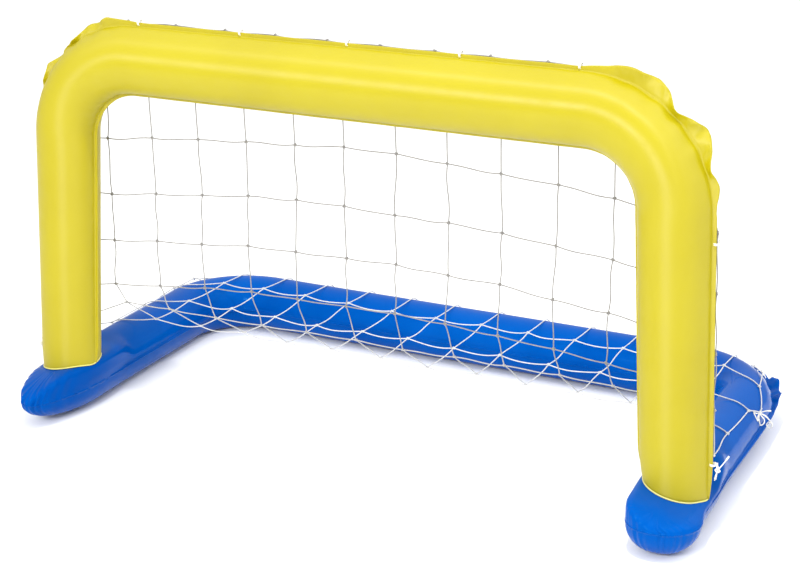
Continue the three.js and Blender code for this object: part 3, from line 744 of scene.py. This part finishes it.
def border(seam):
    return seam["edge"] + seam["side"] * BORDER_LIFT


# The net

def tube_segments():
    """Centre lines and radii of both tubes as arrays, for keeping the net clear of them"""
    pairs = []
    for stations in (arch_stations(), base_stations()):
        kept = stations[::6] + [stations[-1]]
        pairs += zip(kept, kept[1:])
    return (np.array([a.centre for a, _ in pairs]), np.array([b.centre - a.centre for a, b in pairs]),
            np.array([a.radius for a, _ in pairs]), np.array([b.radius for _, b in pairs]))


ALL_TUBES = tube_segments()


def cleared(point, clearance):
    """Moves a point out of any tube that it lies in"""
    starts, spans, first, last = ALL_TUBES
    for _ in range(2):
        share = np.einsum("ij,ij->i", point - starts, spans) / np.einsum("ij,ij->i", spans, spans)
        share = np.clip(share, 0, 1)
        nearest = starts + spans * share[:, None]
        away = point - nearest
        distance = np.linalg.norm(away, axis=1)
        reach = first + (last - first) * share + clearance
        worst = int(np.argmin(distance - reach))
        if distance[worst] >= reach[worst]:
            break
        point = nearest[worst] + away[worst] / distance[worst] * reach[worst]
    return point


def column_place(j):
    return (j - (COLUMNS - 1) / 2) * COLUMN_PITCH + NET_SHIFT


ROWS = len(ROW_HEIGHTS) + len(FLOOR_ROWS) + 3
BEND_INDEX = len(ROW_HEIGHTS) + 1
BOW_INDEX = len(EDGE_HEIGHTS) + 2


def on_side(place, hand):
    """A place on the right, given from the arch's plane, or its twin on the left"""
    x, behind, height = place
    return vec(hand * x, PLANE_Y + behind, height)


def top_knot(j):
    along = column_place(j)
    over = abs(along) - ARCH_BEND_CENTRE[0]
    if 1 < j < COLUMNS - 2:
        flange_reach = ARCH_BEND + CROSSBAR_RADIUS + FLANGE
        drop = flange_reach - math.sqrt(flange_reach ** 2 - over ** 2) if over > 0 else 0.0
        return vec(along, PLANE_Y + BORDER_LIFT, CROSSBAR_HEIGHT + CROSSBAR_RADIUS + FLANGE - drop)
    corner = j in (0, COLUMNS - 1)
    hand = math.copysign(1, along)
    angle = math.radians(24.2) if corner else math.pi / 4
    reach = ARCH_BEND + (CROSSBAR_RADIUS / 2 if corner else 0)
    behind = CROSSBAR_RADIUS if corner else CURTAIN_BEHIND
    x = ARCH_BEND_CENTRE[0] + reach * math.cos(angle)
    return vec(hand * x, PLANE_Y + behind, ARCH_BEND_CENTRE[2] + reach * math.sin(angle))


def edge_knot(i, hand):
    if i <= len(EDGE_HEIGHTS):
        return border(post_seam(EDGE_HEIGHTS[i - 1], hand))
    return on_side(SIDE_EDGE_KNOTS[i - len(EDGE_HEIGHTS) - 1], hand)


def knot_place(i, j):
    if i == 0:
        return top_knot(j)
    if j in (0, COLUMNS - 1):
        return edge_knot(i, -1 if j == 0 else 1)
    along = column_place(j)
    sides = (along / (POST_SPACING / 2)) ** 2
    if i <= len(ROW_HEIGHTS):
        return vec(along, PLANE_Y + CURTAIN_BEHIND, ROW_HEIGHTS[i - 1] - ROW_DROP * sides)
    if i == BEND_INDEX:
        return vec(along, PLANE_Y + BEND_ROW[0], BEND_ROW[1])
    if i == ROWS - 1:
        return border(rear_seam(along))
    behind, height = FLOOR_ROWS[i - BEND_INDEX - 1]
    return vec(along, PLANE_Y + behind, height)


STRAND_STEPS = 16
STRAND_SIDES = 7
RELAXING_ROUNDS = 40
KNOT_STEPS = 26
KNOT_WANDER = 0.003
KNOT_SIZE = 0.0026
ROW_SAG = {"curtain": 0.0015, "floor": 0.006}
COLUMN_SAG = {"curtain": 0.0, "floor": 0.004}
ROW_SWAY = 0.0015
COLUMN_SWAY = 0.0022


def strand_path(a, b, sag, sway):
    """A strand from knot to knot, hanging a little and pulled over the tubes"""
    straight = [a + (b - a) * (k / STRAND_STEPS) for k in range(STRAND_STEPS + 1)]
    path = []
    for k, point in enumerate(straight):
        share = k / STRAND_STEPS
        hang = 4 * share * (1 - share)
        path.append(point + vec(0, 0, -sag * hang) + sway * math.sin(2 * math.pi * share))
    if any(np.linalg.norm(cleared(p, NET_CLEARANCE) - p) > 3e-4 for p in path):
        for _ in range(RELAXING_ROUNDS):
            relaxed = [path[0]]
            for k in range(1, STRAND_STEPS):
                relaxed.append(cleared((path[k - 1] + path[k + 1]) / 2, NET_CLEARANCE))
            path = relaxed + [path[-1]]
    return path


def knot_lump(soup, centre, u, v, w, size, cord):
    """A small overhand knot"""
    path = []
    for k in range(KNOT_STEPS):
        t = 2 * math.pi * k / KNOT_STEPS
        x = math.sin(t) + 2 * math.sin(2 * t)
        y = math.cos(t) - 2 * math.cos(2 * t)
        z = -math.sin(3 * t)
        path.append(centre + size * (x * u + y * v) / 3 + w * (size * 0.45 * z))
    soup.tube(path, cord, sides=6, closed=True)


def build_net():
    places = [[cleared(knot_place(i, j), NET_CLEARANCE) for j in range(COLUMNS)] for i in range(ROWS)]
    for i in range(1, ROWS - 1):
        for j in range(1, COLUMNS - 1):
            wander = vec(random.uniform(-1, 1), 0.4 * random.uniform(-1, 1), random.uniform(-1, 1))
            places[i][j] = cleared(places[i][j] + wander * KNOT_WANDER, NET_CLEARANCE)
    soup = Soup()

    def at(i, j):
        return places[min(max(i, 0), ROWS - 1)][min(max(j, 0), COLUMNS - 1)]

    def strand(a, b, sag, sway):
        soup.tube(strand_path(a, b, sag, sway), CORD / 2, sides=STRAND_SIDES)

    for i in range(ROWS):
        part = "floor" if i > BEND_INDEX else "curtain"
        for j in range(COLUMNS):
            here = places[i][j]
            if j < COLUMNS - 1:
                sway = vec(0, 0, random.uniform(-1, 1) * ROW_SWAY)
                strand(here, places[i][j + 1], ROW_SAG[part], sway)
            if i < ROWS - 1:
                sway = vec(random.uniform(-1, 1) * COLUMN_SWAY, 0, 0)
                start = here
                if i == BOW_INDEX and j in (0, COLUMNS - 1):
                    start = on_side(BOW_KNOT, -1 if j == 0 else 1)
                    strand(here, start, 0.0, sway)
                strand(start, places[i + 1][j], COLUMN_SAG[part], sway)
            u = unit(at(i, j + 1) - at(i, j - 1))
            v = unit(at(i + 1, j) - at(i - 1, j))
            w = unit(np.cross(u, v))
            v = np.cross(w, u)
            turn = random.uniform(0, 2 * math.pi)
            uu = math.cos(turn) * u + math.sin(turn) * v
            vv = -math.sin(turn) * u + math.cos(turn) * v
            knot_lump(soup, here, uu, vv, w, KNOT_SIZE, CORD * 0.55)
    return soup.make("knotted_net")


# Ties

def tail(soup, rand, start, heading, length):
    """A cut end of twine"""
    droop = vec(0, 0, -rand.uniform(0.1, 0.4)) * length
    points = [start, start + heading * length * 0.35, start + heading * length * 0.7 + droop * 0.2]
    points.append(start + heading * length * (0.95 + rand.uniform(0, 0.1)) + droop * 0.5)
    soup.tube(curved(points, 6), TIE_CORD / 2)


def tie(name, seam, knot=None, bow=False, rise=0.3, tails=2, length=0.016, paddles=(), seed=0):
    """Twine through an eyelet in the seam, knotted beside it or at a place, with cut tails or a bow"""
    rand = random.Random(seed)
    out, side, along = seam["out"], seam["side"], seam["along"]
    centre = seam["edge"] + side * TIE_SHIFT
    soup = Soup()
    for turn_index in range(2):
        path = []
        shift = along * (0.0011 * (2 * turn_index - 1))
        for k in range(24):
            turn = 2 * math.pi * k / 24
            reach = TIE_RADIUS * (1 + 0.05 * math.sin(2 * turn + turn_index))
            path.append(centre + shift + reach * (0.8 * math.cos(turn) * out + math.sin(turn) * side))
        soup.tube(path, TIE_CORD / 2, closed=True)
    lift = unit(side + out * rise)
    root = centre + lift * (TIE_RADIUS + 0.0008)
    if knot is None:
        knot = root
    else:
        for shift in (-0.0014, 0.0014):
            middle = (root + knot) / 2 + lift * 0.003 + along * shift
            soup.tube(curved([root, middle, knot], 6), TIE_CORD / 2)
    knot_lump(soup, knot, along, lift, np.cross(along, lift), 0.0030 + 0.0004 * tails, TIE_CORD * 0.62)
    for index in range(tails):
        turn = -1 if index % 2 else 1
        heading = along * turn * rand.uniform(0.5, 1.0) + lift * rand.uniform(0.05, 0.5)
        tail(soup, rand, knot, unit(heading - out * rand.uniform(0.0, 0.4)), length * rand.uniform(0.8, 1.2))
    hand = math.copysign(1, knot[0])
    for offset in BOW_LOOPS if bow else ():
        ring = knot + offset * (hand, 1, 1)
        across, down = vec(0.905 * hand, 0.426, 0), vec(0.15 * hand, -0.35, -0.92)
        start = unit(knot - ring)
        first = math.atan2(np.dot(start, down), np.dot(start, across))
        loop = [knot]
        for k in range(1, 12):
            angle = first + 2 * math.pi * k / 12
            place = ring + BOW_LOOP_RADIUS * (math.cos(angle) * across + math.sin(angle) * down)
            loop.append(cleared(place, TIE_CORD * 0.7))
        loop.append(knot)
        soup.tube(curved(loop, 4), TIE_CORD * 0.6)
    for heading in paddles:
        end = knot + heading * (hand, 1, 1)
        soup.tube(curved([knot, (knot + end) / 2 + lift * 0.002, end], 6),
                  lambda share: TIE_CORD * (0.5 + 0.35 * smooth((share - 0.6) / 0.2)))
    return soup.make(name)


# Valves

TURNED_SEGMENTS = 48
STRAP = 0.0009


def turned(name, profile, valve_frame, merge):
    """A turned piece from (radius, height) pairs, of which those marked True are laid on the tube"""
    place, x_axis, y_axis, z_axis, tube = valve_frame
    verts = []
    for radius, height, *settled in profile:
        for k in range(TURNED_SEGMENTS):
            turn = 2 * math.pi * k / TURNED_SEGMENTS
            x, y = radius * math.cos(turn), radius * math.sin(turn)
            z = height
            if settled:
                z += math.sqrt(tube ** 2 - y ** 2) - tube
            verts.append(place + x * x_axis + y * y_axis + z * z_axis)
    return add_object(name, verts, ring_faces(len(profile), TURNED_SEGMENTS), merge=merge)


def valve_frame_arch():
    station = post_at(ARCH_VALVE_HEIGHT).mirrored()
    normal = ALONG_Y
    place = station.centre + normal * (station.radius + 0.00015)
    x_axis = np.cross(station.out, normal)
    return place, x_axis, np.cross(normal, x_axis), normal, station.radius


def valve_frame_base():
    normal = vec(0, math.sin(BASE_VALVE_TILT), math.cos(BASE_VALVE_TILT))
    seam = vec(BASE_VALVE_ALONG, PLANE_Y + BASE_DEPTH, BASE_HEIGHT + 0.00115)
    place = seam + vec(0, BASE_RADIUS * math.sin(BASE_VALVE_TILT),
                       (BASE_RADIUS - 0.001) * math.cos(BASE_VALVE_TILT))
    x_axis = vec(1, 0, 0)
    return place, x_axis, np.cross(normal, x_axis), normal, BASE_RADIUS


def valve(word, valve_frame):
    """A valve's soft body, plug, flap and strap, by name"""
    place, x, y, z, _ = valve_frame
    neck, rim, cap, deep = NECK_RADIUS, VALVE_FLANGE_RADIUS, PLUG_HEAD_RADIUS, -NECK_DEPTH
    bore = neck - NECK_WALL
    flange = [
        (bore, RIM_HEIGHT - 0.0004), (bore, deep + 0.0004), (bore + 0.0004, deep),
        (neck - 0.0004, deep), (neck, deep + 0.0004), (neck, 0.0004, True), (rim - 0.0003, 0.0003, True),
        (rim, 0.0006, True), (rim - 0.0006, 0.0012, True), (rim - 0.0016, 0.0013, True),
        (rim - 0.0020, 0.0017, True), (rim - 0.0026, 0.0017, True), (rim - 0.0030, 0.0013, True),
        (neck + 0.0012, 0.0014, True), (neck + 0.0002, 0.0020), (neck, RIM_HEIGHT - 0.0005),
        (neck - 0.0005, RIM_HEIGHT), (bore + 0.0004, RIM_HEIGHT), (bore, RIM_HEIGHT - 0.0004),
    ]
    pieces = {"body": turned(word + "_valve_body_soft", flange, valve_frame, 1e-6)}
    seat = RIM_HEIGHT + RUNNING_GAP
    head = seat + PLUG_HEAD
    stem = bore - RUNNING_GAP
    tip = seat - PLUG_STEM
    plug_profile = [
        (1e-5, tip), (stem - 0.001, tip), (stem - 0.0003, tip + 0.0004), (stem, tip + 0.001),
        (stem, tip + 0.004), (stem - 0.0004, tip + 0.0045), (stem - 0.0004, seat - 0.0005), (stem, seat),
        (cap - 0.0005, seat), (cap, seat + 0.0005), (cap, head - 0.0009), (cap - 0.0009, head),
        (cap - 0.0028, head), (cap - 0.0034, head - 0.0004), (1e-5, head - 0.0004),
    ]
    pieces["plug"] = turned(word + "_valve_plug_soft", plug_profile, valve_frame, 2e-5)
    low = deep - RUNNING_GAP - FLAP
    flap_profile = [
        (1e-5, low), (neck - 0.0003, low), (neck, low + 0.0003),
        (neck, low + FLAP - 0.0003), (neck - 0.0003, low + FLAP), (1e-5, low + FLAP),
    ]
    pieces["flap"] = turned(word + "_valve_flap_soft", flap_profile, valve_frame, 2e-5)
    near = cap + RUNNING_GAP
    spine = curved([
        (near, 0, seat + 0.0012), (near + 0.0016, 0, seat + 0.0012), (near + 0.0032, 0, seat - 0.0002),
        (near + 0.0048, 0, 0.0022), (rim - 0.0005, 0, 0.0022),
    ], 6)
    verts = []
    for point in spine:
        for dy, dz in ((-0.5, -0.5), (0.5, -0.5), (0.5, 0.5), (-0.5, 0.5)):
            verts.append(place + point[0] * x + dy * STRAP_WIDTH * y + (point[2] + dz * STRAP) * z)
    last = 4 * (len(spine) - 1)
    faces = ring_faces(len(spine), 4) + [(3, 2, 1, 0), (last, last + 1, last + 2, last + 3)]
    pieces["strap"] = add_object(word + "_valve_strap_soft", verts, faces)
    rounded = pieces["strap"].modifiers.new("round", "BEVEL")
    rounded.width = 0.0003
    rounded.segments = 2
    return pieces


# Materials

def feed(tree, node, inputs):
    """Sets a node's inputs, each to a value or to another node's output"""
    for socket, value in inputs.items():
        if isinstance(value, bpy.types.NodeSocket):
            tree.links.new(value, node.inputs[socket])
        else:
            node.inputs[socket].default_value = value


def add_node(tree, kind, inputs):
    node = tree.nodes.new(kind)
    feed(tree, node, inputs)
    return node


def new_material(name):
    """A material with its nodes, its shader and the place that its patterns are laid out by"""
    material = bpy.data.materials.new(name)
    material.use_nodes = True
    tree = material.node_tree
    place = tree.nodes.new("ShaderNodeTexCoord").outputs["Object"]
    return material, tree, tree.nodes["Principled BSDF"], place


def noise(tree, place, scale, detail=3.0, roughness=0.5):
    inputs = {"Scale": scale, "Detail": detail, "Roughness": roughness, "Vector": place}
    return add_node(tree, "ShaderNodeTexNoise", inputs).outputs["Fac"]


def ramp(tree, source, stops):
    node = add_node(tree, "ShaderNodeValToRGB", {"Fac": source})
    elements = node.color_ramp.elements
    while len(elements) < len(stops):
        elements.new(0.5)
    for element, (share, color) in zip(elements, stops):
        element.position = share
        element.color = (*color, 1)
    return node.outputs["Color"]


def bump(tree, height, distance, strength, after=None):
    inputs = {"Distance": distance, "Strength": strength, "Height": height}
    if after is not None:
        inputs["Normal"] = after
    return add_node(tree, "ShaderNodeBump", inputs).outputs["Normal"]


def along_arch(tree, place):
    """The direction along the arch's tube, from the place alone: the sheet is rolled that way"""

    def calc(operation, first, second=0.0):
        node = add_node(tree, "ShaderNodeMath", {0: first, 1: second})
        node.operation = operation
        return node.outputs[0]

    def turn(operation, inputs):
        node = add_node(tree, "ShaderNodeVectorMath", inputs)
        node.operation = operation
        return node.outputs["Vector"]

    axes = add_node(tree, "ShaderNodeSeparateXYZ", {"Vector": place}).outputs
    beyond = calc("SUBTRACT", calc("ABSOLUTE", axes["X"]), float(ARCH_BEND_CENTRE[0]))
    aside = calc("MULTIPLY", calc("MAXIMUM", beyond), calc("SIGN", axes["X"]))
    above = calc("MAXIMUM", calc("SUBTRACT", axes["Z"], float(ARCH_BEND_CENTRE[2])))
    out = add_node(tree, "ShaderNodeCombineXYZ", {"X": aside, "Z": above}).outputs["Vector"]
    return turn("NORMALIZE", {0: turn("CROSS_PRODUCT", {0: out, 1: (0, 1, 0)})})


def vinyl(name, colors, rough, shine, grain, translucency=0.0, drawn=0.0, density=1.5, tint=(1, 1, 1)):
    """Soft PVC sheet: slow colour drift, a fine pressed grain and faint fold marks"""
    material, tree, shader, place = new_material(name)
    drift = noise(tree, place, 5.0, 4.0)
    gloss = add_node(tree, "ShaderNodeMapRange", {
        "Value": noise(tree, place, 38.0, 5.0, 0.6),
        "From Min": 0.3, "From Max": 0.7, "To Min": rough - 0.04, "To Max": rough + 0.06})
    folds = bump(tree, noise(tree, place, 17.0, 2.0), 0.004, 0.12)
    feed(tree, shader, {
        "Base Color": ramp(tree, drift, tuple(zip((0.3, 0.5, 0.72), colors))),
        "Roughness": gloss.outputs["Result"],
        "Normal": bump(tree, noise(tree, place, 1400.0, 2.0), 0.00012, grain, folds),
        "IOR": density, "Specular Tint": (*tint, 1), "Specular IOR Level": shine,
        "Subsurface Weight": translucency, "Subsurface Radius": (0.012, 0.009, 0.003),
        "Subsurface Scale": 0.5})
    if drawn:
        feed(tree, shader, {"Anisotropic": drawn, "Tangent": along_arch(tree, place)})
    return material


# Heights over which the net's twine darkens upwards: painted shade on the upper net
UPPER_SHADE_FROM = 0.13
UPPER_SHADE_ABOVE = 0.26


def twine(name, dark, light, upper_shade=None):
    """Twisted twine: ply marks, fuzz and slight soiling, with its upper part darkened as painted shade if
    asked
    """
    material, tree, shader, place = new_material(name)
    tone = ramp(tree, noise(tree, place, 60.0, 4.0), ((0.3, dark), (0.7, light)))
    # Painted shade: the twine's colour is multiplied darker with height, so the upper net reads grey
    if upper_shade:
        height = add_node(tree, "ShaderNodeSeparateXYZ", {"Vector": place}).outputs["Z"]
        share = add_node(tree, "ShaderNodeMapRange", {
            "Value": height, "From Min": UPPER_SHADE_FROM, "From Max": UPPER_SHADE_ABOVE}).outputs["Result"]
        shade = ramp(tree, share, ((0.0, (1.0, 1.0, 1.0)), (1.0, upper_shade)))
        mix = tree.nodes.new("ShaderNodeMix")
        mix.data_type = "RGBA"
        mix.blend_type = "MULTIPLY"
        feed(tree, mix, {"Factor": 1.0, "A": tone, "B": shade})
        tone = mix.outputs["Result"]
    ply = add_node(tree, "ShaderNodeTexWave", {"Scale": 190.0, "Distortion": 1.5, "Vector": place})
    ply.wave_type = "BANDS"
    ply.bands_direction = "DIAGONAL"
    marks = bump(tree, ply.outputs["Fac"], 0.0003, 0.8)
    feed(tree, shader, {
        "Base Color": tone, "Normal": bump(tree, noise(tree, place, 2500.0), 0.0002, 0.6, marks),
        "Roughness": 0.8, "Sheen Weight": 0.25})
    return material


def soft_plastic(name, dark, light):
    """The valves' soft, slightly clear vinyl"""
    material, tree, shader, place = new_material(name)
    feed(tree, shader, {
        "Base Color": ramp(tree, noise(tree, place, 90.0), ((0.3, dark), (0.7, light))),
        "Normal": bump(tree, noise(tree, place, 900.0, 2.0), 0.0001, 0.3),
        "Roughness": 0.32, "Subsurface Weight": 0.4, "Subsurface Radius": (0.004, 0.004, 0.004)})
    return material


MATERIALS = {
    "yellow": vinyl("yellow_vinyl", ((0.370, 0.309, 0.0012), (0.387, 0.325, 0.0018), (0.397, 0.338, 0.0025)),
                    rough=0.48, shine=0.52, grain=0.10, drawn=0.88),
    # A real welded rim, but its pale colour is a painted highlight along its edge
    "lip": vinyl("weld_vinyl_painted_highlight", ((0.64, 0.60, 0.16), (0.67, 0.64, 0.22), (0.69, 0.66, 0.27)),
                 rough=0.35, shine=0.3, grain=0.2, translucency=0.15),
    "blue": vinyl("blue_vinyl", ((0.0, 0.056, 0.30), (0.0, 0.068, 0.34), (0.001, 0.080, 0.38)),
                  rough=0.085, shine=0.5, grain=0.015, density=1.17, tint=(0.12, 0.6, 1.0)),
    # The net's upper part carries painted shade, darker than its lower part
    "net": twine("net_twine_painted_shade", (0.52, 0.52, 0.53), (0.64, 0.64, 0.64), upper_shade=(0.42, 0.40, 0.38)),
    "tie": twine("tie_twine_finish", (0.78, 0.76, 0.70), (0.93, 0.92, 0.88)),
    "valve": soft_plastic("valve_soft_vinyl", (0.70, 0.73, 0.74), (0.84, 0.86, 0.86)),
}


def dress(obj, nodes, material, body="goal"):
    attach(obj, body)
    if nodes:
        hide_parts(*nodes)
    obj.data.materials.append(MATERIALS[material])


# Camera

CAMERA_PLACE = vec(1.373603, PLANE_Y - 2.695341, 1.406424)
CAMERA_YAW = math.radians(-25.2383)
CAMERA_PITCH = math.radians(-19.2262)
CAMERA_ROLL = math.radians(0.1618)
FOCAL_PIXELS = 1760.0245
PHOTO_WIDTH = 800
SENSOR = 36.0


def add_camera():
    ahead = vec(math.sin(CAMERA_YAW) * math.cos(CAMERA_PITCH),
                math.cos(CAMERA_YAW) * math.cos(CAMERA_PITCH), math.sin(CAMERA_PITCH))
    right = vec(math.cos(CAMERA_YAW), -math.sin(CAMERA_YAW), 0)
    up = np.cross(right, ahead)
    turned_right = math.cos(CAMERA_ROLL) * right + math.sin(CAMERA_ROLL) * up
    turned_up = -math.sin(CAMERA_ROLL) * right + math.cos(CAMERA_ROLL) * up
    data = bpy.data.cameras.new("camera")
    data.sensor_width = SENSOR
    data.lens = SENSOR * FOCAL_PIXELS / PHOTO_WIDTH
    data.clip_end = 100
    camera = bpy.data.objects.new("camera", data)
    turn = Matrix((turned_right, turned_up, -ahead)).transposed().to_4x4()
    camera.matrix_world = Matrix.Translation(Vector(CAMERA_PLACE)) @ turn
    bpy.context.scene.collection.objects.link(camera)
    bpy.context.scene.camera = camera
    bpy.context.scene.view_settings.view_transform = "Standard"


# Studio

# Name, place, target, size and watts
LIGHTS = (
    ("key", (0.0, PLANE_Y - 3.75, 2.25), (0, 0, 0.5), (1.8, 0.8), 128),
    ("top", (2.3, -0.1, 2.8), (0, 0, 0.3), (3.0, 2.6), 42),
    ("spark", (0.5, -0.9, 3.0), (0, -0.3, 0), (0.07, 0.07), 24),
)
HORIZON_GLOW = 0.58
ZENITH_GLOW = 1.52
FLOOR_SIZE = 60
FLOOR_DROP = 0.0006
FLOOR_COLORS = ((0.3, (0.90, 0.90, 0.895)), (0.7, (0.92, 0.92, 0.915)))


def area_light(name, place, target, size, power):
    data = bpy.data.lights.new(name, "AREA")
    data.shape = "RECTANGLE"
    data.size, data.size_y = size
    data.energy = power
    light = bpy.data.objects.new(name, data)
    light.location = place
    heading = Vector(target) - Vector(place)
    light.rotation_euler = heading.to_track_quat("-Z", "Y").to_euler()
    bpy.context.scene.collection.objects.link(light)


def add_studio():
    world = bpy.data.worlds.new("studio")
    world.use_nodes = True
    tree = world.node_tree
    heading = tree.nodes.new("ShaderNodeTexCoord").outputs["Generated"]
    height = add_node(tree, "ShaderNodeSeparateXYZ", {"Vector": heading}).outputs["Z"]
    glow = add_node(tree, "ShaderNodeMapRange", {
        "Value": height, "To Min": HORIZON_GLOW, "To Max": ZENITH_GLOW})
    feed(tree, tree.nodes["Background"], {"Color": (1.0, 1.0, 1.0, 1), "Strength": glow.outputs["Result"]})
    bpy.context.scene.world = world
    for light in LIGHTS:
        area_light(*light)
    bpy.ops.mesh.primitive_plane_add(size=FLOOR_SIZE, location=(0, 0, -FLOOR_DROP))
    floor = bpy.context.object
    floor.name = "floor"
    material, tree, shader, place = new_material("floor_paint")
    feed(tree, shader, {
        "Base Color": ramp(tree, noise(tree, place, 1.5), FLOOR_COLORS),
        "Roughness": 0.9, "Specular IOR Level": 0.1})
    floor.data.materials.append(material)


# Assembly

add_camera()
add_studio()
for side, word in ((-1, "front"), (1, "rear")):
    dress(arch_panel("arch_%s_skin" % word, side), ["arch_%s_panel" % word], "yellow")
for side, word in ((1, "top"), (-1, "bottom")):
    dress(base_panel("base_%s_skin" % word, side), ["base_%s_panel" % word], "blue")
for hand, word in ((-1, "left"), (1, "right")):
    # The welded rims' pale vinyl paints an edge highlight on them
    dress(weld_lip(hand, "post_weld_" + word), [], "lip")

dress(build_net(), ["net"], "net")

TIES = {}
for index in range(5):
    seam = crossbar_seam((index - 2) * CROSSBAR_TIE_SPACING)
    TIES["tie_crossbar_%d" % (index + 1)] = (seam, {"rise": -0.45})
    TIES["tie_rear_%d" % (index + 1)] = (rear_seam((index - 2) * REAR_TIE_SPACING), {})
for hand, word in ((-1, "left"), (1, "right")):
    TIES["tie_post_%s_upper" % word] = (post_seam(UPPER_TIE_HEIGHT, hand), {})
    foot_seam = post_seam(FOOT_TIE_HEIGHT, hand)
    foot_knot = foot_seam["edge"] + FOOT_KNOT * (hand, 1, 1)
    TIES["tie_post_%s_foot" % word] = (foot_seam, {
        "knot": foot_knot, "tails": 6, "length": 0.017, "paddles": (FOOT_PADDLE,)})
    TIES["tie_side_%s" % word] = (side_seam(SIDE_TIE_BEHIND, hand), {
        "knot": on_side(BOW_KNOT, hand), "bow": True, "paddles": (SIDE_TAIL,)})
    TIES["tie_corner_%s" % word] = (corner_seam(CORNER_TIE_SHARE, hand), {
        "knot": on_side(SIDE_EDGE_KNOTS[3], hand), "tails": 3})
for seed, (node, (seam, shape)) in enumerate(TIES.items()):
    dress(tie(node + "_twine", seam, seed=seed, **shape), [node], "tie")

for word, valve_frame in (("arch", valve_frame_arch()), ("base", valve_frame_base())):
    bodies = {"body": "goal", "strap": "goal", "plug": word + "_plug", "flap": word + "_flap"}
    for piece, obj in valve(word, valve_frame).items():
        dress(obj, [word + "_valve_" + piece], "valve", bodies[piece])
